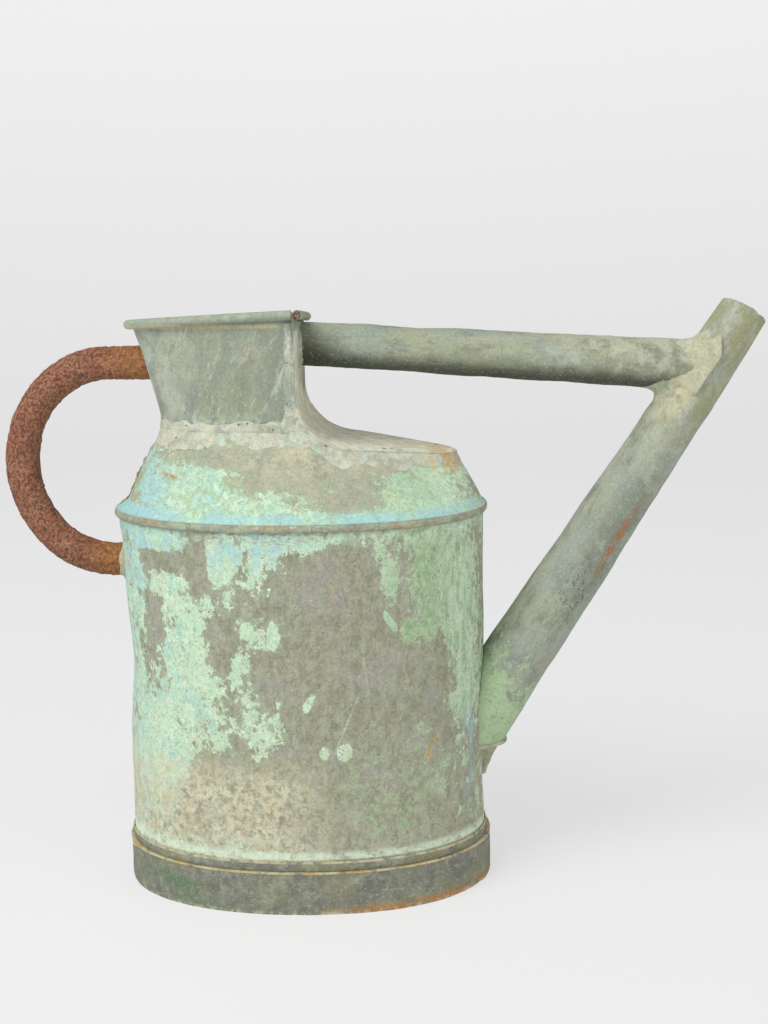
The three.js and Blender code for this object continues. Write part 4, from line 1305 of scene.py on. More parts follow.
@dataclass(frozen=True)
class NeckFinish:
    """Streaked grey-green copper on the neck and its roof."""

    def paint(self) -> Material:
        """Builds the material.

        Returns:
            The material.
        """
        b = Brush("streaked_neck")
        lean = (0, 14, 0)
        streak = b.clouds(12, 6, 0.64, (1, 1, 2.6), 71, lean)
        grain = b.clouds(2.6, 5, 0.7, (1, 1, 2.4), 72, lean)
        colour = b.mix(b.ramp(streak, 0.38, 0.6), Tint.NECK_GREY, Tint.NECK)
        colour = b.mix(b.patch(0.46, 0.62, 22, 5, 0.64, (1, 1, 1.6), 73, lean), colour, Tint.NECK_GREEN, 0.7)
        slate = b.total(
            (b.spot((-18, -50, 378), (16, 20, 26), 10, 0.8), 0.8),
            (b.spot((-74, -50, 348), (9, 20, 22), 14, 0.8), 0.8),
        )
        colour = b.coat(colour, Tint.SLATE, 0.8, slate, b.patch(0.4, 0.58, 9, 6, 0.68, (1, 1, 2), 91, lean))
        middle = b.both(
            b.spot((-34, -60, 365), (18, 40, 40), 8, 0.8), b.patch(0.36, 0.6, 8, 5, 0.66, (1, 1, 2), 84)
        )
        colour = b.mix(middle, colour, Tint.SPOUT_OLIVE, 0.35)
        colour = b.mix(
            b.patch(0.54, 0.68, 5.5, 6, 0.7, (1, 1, 4), 74, (0, 24, 0)), colour, Tint.NECK_PALE, 0.7
        )
        colour = b.mix(b.patch(0.5, 0.64, 9, 6, 0.68, (1, 1, 2.4), 75, lean), colour, Tint.BARE_DARK, 0.65)
        left = b.both(b.ramp(b.x, -62, -92), b.patch(0.36, 0.6, 10, 5, seed=85))
        colour = b.mix(left, colour, Tint.NECK_PALE, 0.45)
        mint = b.both(b.ramp(b.z, 348, 336), b.patch(0.5, 0.6, 7, 6, 0.68, seed=86))
        colour = b.mix(mint, colour, Tint.MINT, 0.5)
        back = b.both(b.ramp(b.x, -96, -116), b.patch(0.4, 0.6, 8, 5, seed=76))
        colour = b.mix(back, colour, Tint.TURQUOISE, 0.45)
        colour = self.rim(b, colour)
        front = b.ramp(b.x, -1.2, 0.2)
        strip = b.mix(b.patch(0.4, 0.6, 6, 6, 0.68, (1.4, 1.4, 1.2), 80), Tint.ROOF_OLIVE, Tint.ROOF_LIT)
        strip = b.mix(b.patch(0.42, 0.6, 14, 5, 0.66, seed=87), strip, Tint.SOLDER_WARM, 0.6)
        strip = b.mix(b.patch(0.58, 0.7, 2.4, 5, 0.72, seed=81), strip, Tint.BARE_DARK, 0.3)
        colour = b.coat(colour, strip, 1.0, front, b.ramp(b.z, 404, 398))
        stain = b.both(b.spot((100, 0, 312), (12, 30, 8)), b.patch(0.4, 0.58, 6, 5, seed=82))
        colour = b.mix(stain, colour, Tint.OCHRE, 0.75)
        for hole in ((61, -30, 318), (66, -24, 317), (72, -27, 317)):
            colour = b.mix(b.spot(hole, (1.6, 2.0, 6), 0, 0.25), colour, Tint.CRACK)
        # Painted shade inside the neck: darker further down, fading out towards the rim.
        inside = b.both(b.ramp(b.z, 402, 380), b.spot((-52, 0, 360), (40, 40, 60), 0, 0.15))
        colour = b.mix(inside, colour, Tint.INSIDE, 0.5)
        colour = b.grain(colour, 0.5, 88)
        relief = b.total((streak, 0.5), (grain, 0.7), (b.clouds(1.8, 3, seed=83), 0.3))
        return b.finish(colour, relief, 0.34, 0.82, 0.28)

    @staticmethod
    def rim(b: Brush, colour: Socket) -> Socket:
        """The rolled edge and the cream line under it.

        Args:
            b: The material's brush.
            colour: The colour below.

        Returns:
            The blended colour.
        """
        under = b.along((-60, 0, 404.5), (0, 0.07, 1))
        cream = b.both(b.ramp(under, -5.0, -3.2), b.ramp(under, -0.6, -2.2))
        cream = b.both(cream, b.patch(0.3, 0.5, 9, 5, 0.66, seed=89))
        colour = b.coat(colour, Tint.EDGE_CREAM, 0.7, cream, b.ramp(b.x, 2, -6))
        bead = b.mix(b.patch(0.4, 0.6, 5, 6, 0.7, seed=78), Tint.NECK_GREEN, Tint.NECK)
        bead = b.mix(b.patch(0.5, 0.64, 9, 5, 0.66, seed=90), bead, Tint.SOLDER_GREY, 0.7)
        bead = b.mix(b.patch(0.54, 0.66, 2.2, 4, 0.7, seed=79), bead, Tint.BARE_DARK, 0.7)
        return b.mix(b.ramp(under, -1.0, 0.2), colour, bead, 0.95)


# Where the spout leaves the wall, and the degrees by which patterns along it are turned.
SPOUT_FOOT = (135, 0, 98)
SPOUT_TURN = (0, -57, 0)


@dataclass(frozen=True)
class TubeFinish:
    """Weathered copper on a tube: patches along it, and painted shade below."""

    name: str
    origin: tuple[float, float, float]
    direction: tuple[float, float, float]
    seed: int
    spout: bool

    def paint(self) -> Material:
        """Builds the material.

        Returns:
            The material.
        """
        b = Brush(self.name)
        lean = (0, -math.degrees(math.atan2(self.direction[2], self.direction[0])), 0)
        far = b.along(self.origin, self.direction)
        streak = b.clouds(6, 6, 0.62, (5, 1, 1), self.seed, lean)
        mottle = b.clouds(13, 6, 0.64, (1.6, 1, 1), self.seed + 1, lean)
        fine = b.clouds(2.4, 4, 0.65, seed=self.seed + 2)
        base, dark = (Tint.SPOUT, Tint.CARRY_DARK) if self.spout else (Tint.CARRY, Tint.CARRY_DARK)
        colour = b.mix(b.ramp(mottle, 0.34, 0.56), dark, base)
        colour = b.mix(b.ramp(streak, 0.48, 0.68), colour, Tint.TAN, 0.5)
        colour = b.mix(
            b.patch(0.46, 0.64, 22, 4, 0.6, (2, 1, 1), self.seed + 3, lean), colour, Tint.SPOUT_BLUE, 0.5
        )
        if self.spout:
            colour = self.spout_marks(b, colour, far)
        else:
            colour = self.carry_marks(b, colour, far)
        colour = b.mix(b.patch(0.66, 0.73, 1.7, 3, 0.65, seed=self.seed + 4), colour, Tint.SPECK, 0.1)
        colour = b.mix(b.ramp(b.cells(7, self.seed + 5), 0.1, 0.05), colour, Tint.CRACK, 0.6)
        colour = b.grain(colour, 0.5, self.seed + 6)
        relief = b.total((mottle, 0.4), (streak, 0.4), (fine, 0.7))
        return b.finish(colour, relief, 0.4, 0.78, 0.32)

    @staticmethod
    def spout_marks(b: Brush, colour: Socket, far: Socket) -> Socket:
        """Green at the foot, a rust streak half way, ochre and olive towards the tip, a painted highlight
        along the upper side and painted shade along the lower side.

        Args:
            b: The material's brush.
            colour: The colour below.
            far: Distance along the tube.

        Returns:
            The blended colour.
        """
        # Painted highlight: a pale band along the spout's upper, near side.
        pale = b.both(
            b.both(b.ramp(far, 40, 110), b.ramp(far, 190, 250)),
            b.ramp(b.along(SPOUT_FOOT, (0.84, 0.3, -0.54)), 2, -10),
        )
        colour = b.coat(
            colour, Tint.NECK_PALE, 0.45, pale, b.patch(0.36, 0.58, 13, 6, 0.66, (1.6, 1, 1), 108, SPOUT_TURN)
        )
        ragged = b.clouds(8, 8, 0.7, seed=101)
        low = b.total((b.ramp(far, 100, 10), 0.24), (ragged, 1.0), (b.ramp(b.x, 160, 132), 0.08))
        crust = b.mix(b.patch(0.4, 0.6, 9, 5, 0.66, seed=102), Tint.LEAF, Tint.FERN)
        crust = b.mix(b.patch(0.5, 0.64, 2.4, 5, 0.7, seed=113), crust, Tint.BARE_DARK, 0.5)
        colour = b.mix(b.ramp(low, 0.6, 0.72), colour, crust, 0.85)
        tip = b.ramp(far, 225, 300)
        ochre = b.both(tip, b.patch(0.38, 0.58, 13, 6, 0.66, (2, 1, 1), 103, SPOUT_TURN))
        colour = b.mix(ochre, colour, Tint.TIP_OLIVE, 0.85)
        # Painted shade: olive, then a near-black edge, along the spout's lower side.
        under = b.along(SPOUT_FOOT, (0.84, 0.25, -0.54))
        olive = b.both(b.ramp(under, 5, 16), b.patch(0.28, 0.5, 16, 5, 0.62, seed=104))
        colour = b.mix(olive, colour, Tint.SPOUT_OLIVE, 0.75)
        edge = b.both(b.ramp(under, 12, 19), b.patch(0.3, 0.6, 9, 5, 0.66, seed=109))
        colour = b.mix(edge, colour, Tint.UNDERSIDE, 0.6)
        soot = b.both(
            b.spot((224, -14, 258), (56, 24, 13), -57, 0.8), b.patch(0.34, 0.56, 9, 6, 0.68, seed=115)
        )
        colour = b.mix(soot, colour, Tint.CARRY_DARK, 0.9)
        streak = b.spot((224, -12, 250), (27, 22, 2.5), -59, 0.6)
        streak = b.both(streak, b.patch(0.4, 0.48, 5, 6, 0.68, (1, 1, 1), 105))
        colour = b.mix(streak, colour, Tint.RUST, 0.85)
        colour = b.coat(colour, Tint.ORANGE, 0.75, streak, b.patch(0.42, 0.6, 3, 4, seed=110))
        spot = b.both(
            b.spot((268, -16, 356), (24, 20, 11), -57), b.patch(0.38, 0.58, 6, 5, 0.66, (1, 1, 1.6), 106)
        )
        colour = b.mix(spot, colour, Tint.SPOUT_OCHRE, 0.85)
        flakes = b.both(
            b.patch(0.53, 0.6, 2.6, 5, 0.7, (1, 1, 1.6), 107), b.spot((198, -18, 216), (26, 24, 11), -57, 0.6)
        )
        return b.mix(flakes, colour, Tint.CRACK, 0.75)

    @staticmethod
    def carry_marks(b: Brush, colour: Socket, far: Socket) -> Socket:
        """Painted shade, nearly black, below and at the neck; paler and greener towards the spout.

        Args:
            b: The material's brush.
            colour: The colour below.
            far: Distance along the tube.

        Returns:
            The blended colour.
        """
        # Painted shade towards the end at the neck.
        colour = b.mix(b.ramp(far, 60, 0), colour, Tint.CARRY_DARK, 0.4)
        pale = b.both(b.ramp(far, 120, 230), b.patch(0.42, 0.58, 12, 6, 0.64, seed=111))
        colour = b.mix(pale, colour, Tint.ROOF, 0.6)
        green = b.patch(0.56, 0.68, 8, 6, 0.66, (2, 1, 1), 112)
        colour = b.mix(green, colour, Tint.NECK_GREEN, 0.7)
        # Painted shade: the tube's underside, with a ragged upper edge.
        below = b.along((0, 0, 389.6), (-0.068, 0, -1))
        ragged = b.total(
            (below, 1.0), (b.clouds(9, 6, 0.68, (2.4, 1, 1), 114), 9.0), (b.ramp(far, 60, 0), 4.0)
        )
        colour = b.mix(b.ramp(ragged, 4, 19), colour, Tint.UNDERSIDE, 0.9)
        shade = b.both(b.ramp(far, 34, 3), b.ramp(ragged, -8, 10))
        return b.mix(shade, colour, Tint.UNDERSIDE, 0.75)


@dataclass(frozen=True)
class SolderFinish:
    """Pale, dusty solder, greened like the copper round it."""

    name: str
    warm: float
    green: float
    seed: int
    low: Tint = Tint.SOLDER_GREY
    high: Tint = Tint.SOLDER

    def paint(self) -> Material:
        """Builds the material.

        Returns:
            The material.
        """
        b = Brush(self.name)
        mottle = b.clouds(7, 6, 0.68, seed=self.seed)
        colour = b.mix(b.ramp(mottle, 0.36, 0.6), self.low, self.high)
        colour = b.mix(b.patch(0.4, 0.6, 18, 4, seed=self.seed + 1), colour, Tint.SOLDER_WARM, self.warm)
        patch = b.patch(0.48, 0.62, 9, 6, 0.68, (1.5, 1.5, 1), self.seed + 2)
        colour = b.mix(patch, colour, Tint.NECK, self.green)
        dull = b.both(
            b.patch(0.4, 0.56, 4, 6, 0.7, (1, 1, 4), self.seed + 11),
            b.both(b.ramp(b.z, 344, 352), b.ramp(b.x, 14, 6)),
        )
        colour = b.mix(dull, colour, Tint.NECK_GREY, 0.75)
        mint = b.patch(0.54, 0.64, 6, 6, 0.68, seed=self.seed + 7)
        colour = b.mix(mint, colour, Tint.TURQUOISE, self.green * 0.7)
        colour = b.mix(b.patch(0.56, 0.68, 2.6, 5, 0.72, seed=self.seed + 3), colour, Tint.BARE_DARK, 0.5)
        ring = b.cells(15, self.seed + 4)
        ring = b.both(b.ramp(ring, 0.32, 0.35), b.ramp(ring, 0.39, 0.36))
        colour = b.coat(colour, Tint.BARE_DARK, 0.3, ring, b.patch(0.5, 0.6, 20, 2, seed=self.seed + 5))
        stain = b.both(
            b.spot((103, -16, 306), (10, 26, 9), 0, 0.7), b.patch(0.4, 0.56, 6, 5, 0.66, seed=self.seed + 10)
        )
        colour = b.mix(stain, colour, Tint.OCHRE, 0.8)
        holes = b.ramp(b.cells(11, self.seed + 8), 0.09, 0.05)
        colour = b.mix(holes, colour, Tint.CRACK, 0.8)
        colour = b.grain(colour, 0.5, self.seed + 9)
        relief = b.total((mottle, 0.6), (b.clouds(2.2, 4, 0.65, seed=self.seed + 6), 0.6), (holes, -0.4))
        return b.finish(colour, relief, 0.4, 0.85, 0.28)


@dataclass(frozen=True)
class RustFinish:
    """Brown, pitted rust."""

    name: str
    seed: int

    def paint(self) -> Material:
        """Builds the material.

        Returns:
            The material.
        """
        b = Brush(self.name)
        grain = b.clouds(3.4, 6, 0.74, seed=self.seed)
        patch = b.clouds(16, 5, 0.64, seed=self.seed + 1)
        colour = b.mix(b.ramp(patch, 0.38, 0.6), Tint.RUST, Tint.RUST_RED)
        colour = b.mix(b.ramp(grain, 0.48, 0.66), colour, Tint.RUST_ORANGE, 0.8)
        holes = b.patch(0.5, 0.42, 2.0, 4, 0.62, seed=self.seed + 2)
        blots = b.patch(0.44, 0.36, 5.5, 5, 0.66, seed=self.seed + 5)
        colour = b.mix(holes, colour, Tint.RUST_DARK, 0.75)
        colour = b.mix(blots, colour, Tint.RUST_DARK, 0.6)
        ends = b.total(
            (b.both(b.ramp(b.x, -150, -112), b.both(b.ramp(b.z, 330, 380), b.ramp(b.z, 399, 393))), 0.8),
            (b.both(b.ramp(b.x, -166, -134), b.ramp(b.z, 266, 244)), 1.0),
        )
        colour = b.coat(colour, Tint.ORANGE, 0.8, ends, b.ramp(grain, 0.38, 0.58))
        colour = b.mix(b.patch(0.6, 0.7, 1.8, 4, 0.72, seed=self.seed + 3), colour, Tint.TAN, 0.5)
        relief = b.total((grain, 0.7), (holes, -0.5))
        return b.finish(colour, relief, 0.6, 0.92, 0.2)


@dataclass(frozen=True)
class CrustFinish:
    """Golden-brown crust on the shoulder's back seam."""

    def paint(self) -> Material:
        """Builds the material.

        Returns:
            The material.
        """
        b = Brush("golden_crust")
        grain = b.clouds(3.6, 5, 0.7, seed=131)
        colour = b.mix(b.ramp(grain, 0.38, 0.6), Tint.CRUST_DARK, Tint.CRUST)
        colour = b.mix(b.patch(0.5, 0.64, 5, 4, seed=132), colour, Tint.EDGE_CREAM, 0.7)
        colour = b.mix(b.patch(0.6, 0.68, 2.6, 3, seed=133), colour, Tint.RUST_DARK, 0.8)
        return b.finish(colour, grain, 0.7, 0.9, 0.2)


class NodeTree:
    """A Geometry Nodes tree under construction."""

    def __init__(self, name: str) -> None:
        """Makes the tree with a geometry input and output.

        Args:
            name: The tree's name.
        """
        self.group = bpy.data.node_groups.new(name, "GeometryNodeTree")
        self.group.interface.new_socket("Geometry", in_out="INPUT", socket_type="NodeSocketGeometry")
        self.group.interface.new_socket("Geometry", in_out="OUTPUT", socket_type="NodeSocketGeometry")
        self.idents: dict[str, str] = {}
        self.source = self.add("NodeGroupInput")
        self.sink = self.add("NodeGroupOutput")

    def add(self, kind: str, **settings: object) -> bpy.types.Node:
        """Adds a node and sets its properties.

        Args:
            kind: The node's kind.
            settings: Its properties.

        Returns:
            The node.
        """
        node = self.group.nodes.new(kind)
        for key, value in settings.items():
            setattr(node, key, value)
        return node

    def ask(self, name: str, kind: str) -> None:
        """Adds a named input."""
        made = self.group.interface.new_socket(name, in_out="INPUT", socket_type=kind)
        self.idents[name] = made.identifier

    def feed(self, name: str, end: Socket) -> None:
        """Links a named input to a socket."""
        self.join(self.source.outputs[name], end)

    def join(self, start: Socket, end: Socket) -> None:
        """Links two sockets."""
        self.group.links.new(start, end)

    def settle(self, made: Socket) -> None:
        """Ends the tree: real geometry with its material.

        Args:
            made: The geometry that was built.
        """
        real = self.add("GeometryNodeRealizeInstances")
        cover = self.add("GeometryNodeSetMaterial")
        self.join(made, real.inputs[0])
        self.join(real.outputs[0], cover.inputs["Geometry"])
        self.feed("Material", cover.inputs["Material"])
        self.join(cover.outputs[0], self.sink.inputs[0])

    def grow(self, name: str, base: Object, values: dict[str, object]) -> Object:
        """Runs the tree on an object and bakes the result into a new one.

        Args:
            name: The new object's name.
            base: The object that carries the modifier; it is removed.
            values: Inputs by name.

        Returns:
            The baked object.
        """
        modifier = base.modifiers.new("grow", "NODES")
        modifier.node_group = self.group
        for key, value in values.items():
            modifier[self.idents[key]] = value
        graph = bpy.context.evaluated_depsgraph_get()
        mesh = bpy.data.meshes.new_from_object(base.evaluated_get(graph), depsgraph=graph)
        base.modifiers.clear()
        bpy.data.objects.remove(base)
        mesh.name = name
        mesh.shade_smooth()
        return place(name, mesh)


def polyline(name: str, points: Array) -> Object:
    """A mesh line through points in millimetres, for a node tree to follow.

    Args:
        name: Its name.
        points: The line's points.

    Returns:
        The line's object.
    """
    mesh = bpy.data.meshes.new(name)
    spots = (points + [DRUM_X, 0, 0]) * MM
    mesh.from_pydata(spots.tolist(), [(i, i + 1) for i in range(len(spots) - 1)], [])
    return place(name, mesh)


def wire_tree() -> NodeTree:
    """A round wire with filled ends along a line.

    Returns:
        The tree.
    """
    tree = NodeTree("wire_along_line")
    tree.ask("Radius", "NodeSocketFloat")
    tree.ask("Material", "NodeSocketMaterial")
    curve = tree.add("GeometryNodeMeshToCurve")
    profile = tree.add("GeometryNodeCurvePrimitiveCircle")
    profile.inputs["Resolution"].default_value = 18
    sweep = tree.add("GeometryNodeCurveToMesh")
    sweep.inputs["Fill Caps"].default_value = True
    tree.feed("Geometry", curve.inputs[0])
    tree.feed("Radius", profile.inputs["Radius"])
    tree.join(curve.outputs[0], sweep.inputs["Curve"])
    tree.join(profile.outputs[0], sweep.inputs["Profile Curve"])
    tree.settle(sweep.outputs[0])
    return tree


def lump_tree() -> NodeTree:
    """Rounded lumps scattered on a skin, lying flat on it.

    Returns:
        The tree.
    """
    tree = NodeTree("lumps_on_skin")
    for name in ("Density", "Smallest", "Largest", "Flatness"):
        tree.ask(name, "NodeSocketFloat")
    tree.ask("Seed", "NodeSocketInt")
    tree.ask("Material", "NodeSocketMaterial")
    scatter = tree.add("GeometryNodeDistributePointsOnFaces", distribute_method="RANDOM")
    tree.feed("Geometry", scatter.inputs["Mesh"])
    tree.feed("Density", scatter.inputs["Density"])
    tree.feed("Seed", scatter.inputs["Seed"])
    ball = tree.add("GeometryNodeMeshIcoSphere")
    ball.inputs["Radius"].default_value = 1.0
    ball.inputs["Subdivisions"].default_value = 2
    size = tree.add("FunctionNodeRandomValue", data_type="FLOAT")
    tree.feed("Smallest", size.inputs[2])
    tree.feed("Largest", size.inputs[3])
    tree.feed("Seed", size.inputs["Seed"])
    flat = tree.add("ShaderNodeMath", operation="MULTIPLY")
    tree.join(size.outputs[1], flat.inputs[0])
    tree.feed("Flatness", flat.inputs[1])
    shape = tree.add("ShaderNodeCombineXYZ")
    tree.join(size.outputs[1], shape.inputs[0])
    tree.join(size.outputs[1], shape.inputs[1])
    tree.join(flat.outputs[0], shape.inputs[2])
    lay = tree.add("GeometryNodeInstanceOnPoints")
    tree.join(scatter.outputs["Points"], lay.inputs["Points"])
    tree.join(ball.outputs["Mesh"], lay.inputs["Instance"])
    tree.join(scatter.outputs["Rotation"], lay.inputs["Rotation"])
    tree.join(shape.outputs[0], lay.inputs["Scale"])
    tree.settle(lay.outputs[0])
    return tree


@dataclass
class Palette:
    """All the can's materials."""

    drum: Material = field(default_factory=DrumFinish().paint)
    shoulder: Material = field(default_factory=ShoulderFinish().paint)
    foot: Material = field(default_factory=HoopFinish().paint)
    neck: Material = field(default_factory=NeckFinish().paint)
    spout: Material = field(
        default_factory=TubeFinish("weathered_spout", SPOUT_FOOT, (0.54, 0, 0.84), 91, True).paint
    )
    carry: Material = field(
        default_factory=TubeFinish("weathered_handle", (1, 0, 390), (1, 0, -0.063), 121, False).paint
    )
    solder: Material = field(default_factory=SolderFinish("dusty_solder", 0.5, 0.75, 141).paint)
    saddle: Material = field(
        default_factory=SolderFinish("grey_solder", 0.6, 0.5, 151, Tint.CARRY, Tint.TAN).paint
    )
    collar: Material = field(
        default_factory=SolderFinish("edge_solder", 0.7, 0.6, 171, Tint.CARRY, Tint.SOLDER).paint
    )
    stained: Material = field(
        default_factory=SolderFinish("stained_solder", 0.5, 0.3, 181, Tint.CRUST, Tint.TAN).paint
    )
    boot: Material = field(
        default_factory=SolderFinish("bare_boot", 0.2, 0.6, 191, Tint.BARE_DARK, Tint.BARE).paint
    )
    rust: Material = field(default_factory=RustFinish("pitted_rust", 161).paint)
    crust: Material = field(default_factory=CrustFinish().paint)


@dataclass
class Drum:
    """The oval wall and its lap seam."""

    rows: int = 110
    lap_share: float = 0.47
    lap_width: float = 11.0

    def build(self, look: Palette) -> None:
        """Makes the wall and the seam.

        Args:
            look: The can's materials.
        """
        z = np.linspace(FORM.foot_z, FORM.hem_z, self.rows)
        inside = z[::-3]
        out = np.concatenate([np.zeros(len(z)), [2.1, 2.1, -1.0], np.full(len(inside) - 1, -1.0)])
        height = np.concatenate([z, [FORM.hem_z, FORM.hem_z + 2, FORM.hem_z + 2], inside[1:]])
        grid = FORM.wall(out, height)
        way = sideways(FORM.normals)
        free = smoothstep(height, 34, 60) * smoothstep(height, 272, 250)
        depth = bumps(grid, (60, 1, 0.8), (18, 2, 0.22))
        grid = grid + way * (depth * free)[..., None]
        wall = Piece("oval_wall").grid(grid, True).make()
        dress(wall, look.drum, Slot.VERDIGRIS, "drum_wall")
        self.lap(look)

    def lap(self, look: Palette) -> None:
        """Makes the doubled sheet behind the loop handle.

        Args:
            look: The can's materials.
        """
        middle = round(len(FORM.outline) * self.lap_share)
        z = np.linspace(38.3, 269.5, 60)
        face = FORM.wall(0.0, z[None])[middle]
        normal = np.append(FORM.normals[middle], 0)
        side = np.array([-normal[1], normal[0], 0])
        half = self.lap_width / 2
        profile = [
            (-half, -0.4), (half, -0.4), (half, 0.8), (half - 0.6, 1.2), (0, 1.3), (-half + 0.6, 1.2),
            (-half, 0.8),
        ]
        grid = np.stack([face + side * s + normal * o for s, o in profile], 1)
        grid = grid + normal * (rumple(grid, 9, 4) * 0.18)[..., None]
        dress(Piece("wall_lap").grid(grid, False).make(), look.drum, Slot.VERDIGRIS, "drum_lap_seam")


@dataclass
class Foot:
    """The floor's turned-up edge and the hoop that stands on the ground."""

    floor_low: float = 31.2
    floor_top: float = 32.2
    lap_start: float = 0.955
    lap_rise: float = 0.9

    def build(self, look: Palette) -> None:
        """Makes the floor and the hoop.

        Args:
            look: The can's materials.
        """
        rim = FORM.wall(
            np.array([0.3, 1.0, 1.3, 1.35, 1.3, 1.0, 0.3]), np.array([31.2, 31.2, 31.7, 34.5, 37, 38, 38.1])
        )
        plate = Piece("floor_edge").grid(self.worn(rim, 0.12, 5), True)
        span = np.linspace(0, 1, 40)[1:]
        top = np.concatenate([rim[:, :1] * [1, 1, 0] * s + [0, 0, self.floor_top] for s in span[::-1]], 1)
        low = np.concatenate([rim[:, :1] * [1, 1, 0] * s + [0, 0, self.floor_low] for s in span], 1)
        sag = rumple(top, 50, 6)[..., None] * [0, 0, 0.5]
        plate.grid(np.concatenate([top + sag, low + sag[:, ::-1]], 1), True)
        dress(plate.make(), look.foot, Slot.DARK, "floor_pan")

        levels = np.linspace(0.8, 28.6, 34)
        face = np.concatenate([[1.9, 2.45], np.full(len(levels), 2.7), [2.9, 3.15, 3.2, 3.0]])
        height = np.concatenate([[0.0, 0.15], levels, [29.2, 29.8, 30.4, 30.8]])
        back_z = np.array([30.9, 30.9, 29.9, 29.9, 20.0, 10.0, 5.0, 5.0, 2.0, 0.0])
        back = np.array([-3.0, -7.0, -7.0, 1.7, 1.7, 1.7, 1.7, 0.6, 0.6, 0.6])
        grid = FORM.wall(np.concatenate([face, back]), np.concatenate([height, back_z]))
        share = np.arange(len(FORM.outline)) / len(FORM.outline)
        lap = self.lap_rise * smoothstep(share, self.lap_start, self.lap_start + 0.003)
        lap = lap * (share > 0.9) + self.lap_rise * smoothstep(share, 0.04, 0.0) * (share < 0.1)
        way = sideways(FORM.normals)
        outer = np.arange(grid.shape[1]) < len(face)
        grid = grid + way * (lap[:, None] * outer)[..., None]
        lump = 1.6 * np.exp(-(((share - 0.552) / 0.008) ** 2))[:, None] * smoothstep(grid[..., 2], 12, 24)
        grid = grid + way * (lump * outer)[..., None]
        hoop = Piece("ground_hoop").grid(self.worn(grid, 0.28, 7), True).make()
        dress(hoop, look.foot, Slot.DARK, "foot_hoop")

    @staticmethod
    def worn(grid: Array, depth: float, seed: float) -> Array:
        """Gives a ring round the wall small dents, leaving the ground contact flat.

        Args:
            grid: The ring's sections.
            depth: How deep the dents are, in mm.
            seed: Shifts the pattern.

        Returns:
            The dented sections.
        """
        way = sideways(FORM.normals)
        relief = rumple(grid, 22, seed) * depth + rumple(grid, 7, seed + 1) * depth * 0.4
        return grid + way * relief[..., None]


@dataclass
class Shoulder:
    """The cone above the drum, its folded seam and the crusted seam at its back."""

    rows: int = 44
    thick: float = 1.4

    def build(self, look: Palette) -> None:
        """Makes the cone and the crust.

        Args:
            look: The can's materials.
        """
        out, low, high = FORM.seam
        roll = np.radians(np.linspace(-80, 80, 7))
        middle, half = (low + high) / 2, (high - low) / 2
        fold = FORM.wall(
            np.concatenate([[0.3], out - 1.3 + 1.3 * np.cos(roll), [2.0, 0.9]]),
            np.concatenate([[low], middle + half * np.sin(roll), [high + 0.1, high + 0.3]]),
        )
        share = np.linspace(0.012, 1, self.rows)
        face = FORM.shoulder(share, np.zeros(self.rows))
        inner = share[::-4]
        back = FORM.shoulder(inner, np.full(len(inner), -self.thick))
        under = FORM.wall(np.array([-1.1, 2.4, 2.4, 0.3]), np.array([274.1, 274.1, 270.6, 270.6]))
        grid = np.concatenate([fold, face, back, under], 1)
        way = sideways(FORM.normals, 0.8, 0.6)
        level = np.concatenate(
            [np.zeros(fold.shape[1]), np.sin(math.pi * share), np.sin(math.pi * inner), np.zeros(4)]
        )
        depth = bumps(grid, (42, 11, 1.0), (14, 12, 0.3))
        wave = rumple(grid, 24, 13) * 0.25 * (np.arange(grid.shape[1]) < fold.shape[1])
        grid = grid + way * (depth * level**0.5 + wave)[..., None]
        dress(Piece("sloped_shoulder").grid(grid, True).make(), look.shoulder, Slot.VERDIGRIS, "shoulder")
        self.crust(look)

    def crust(self, look: Palette) -> None:
        """Makes the lumpy seam down the back.

        Args:
            look: The can's materials.
        """
        middle = len(FORM.outline) // 2
        share = np.linspace(0.0, 0.9, 110)
        base = FORM.shoulder(share, np.zeros(len(share)))[middle]
        angle = np.radians(np.linspace(-90, 90, 15))
        across, rise = 5.5 * np.sin(angle), 0.7 * np.cos(angle)
        grid = base[:, None] + np.stack([-rise, across, rise * 0.5], 1)
        sunk = base[:, None] + np.stack([0.8 + 0 * across[::-4], across[::-4], 0 * across[::-4]], 1)
        lumps = bumps(grid, (7, 14, 0.9), (3.2, 15, 0.6))
        lumps = lumps - smoothstep(-pits(grid, 5, 16), -0.35, -0.1) * 1.2
        grid = grid + lumps[..., None] * np.array([-0.9, 0, 0.4]) * np.cos(angle)[:, None] ** 0.5
        solid = Piece("back_seam_crust").grid(np.concatenate([grid, sunk], 1), False)
        dress(solid.make(60), look.crust, Slot.SOLDER, "shoulder_back_seam")


def ring_arc(radius: float, start: float, end: float, steps: int) -> Array:
    """Points of an arc as out and up offsets, between two angles in degrees."""
    angle = np.radians(np.linspace(start, end, steps))
    return np.stack([radius * np.cos(angle), radius * np.sin(angle)], 1)


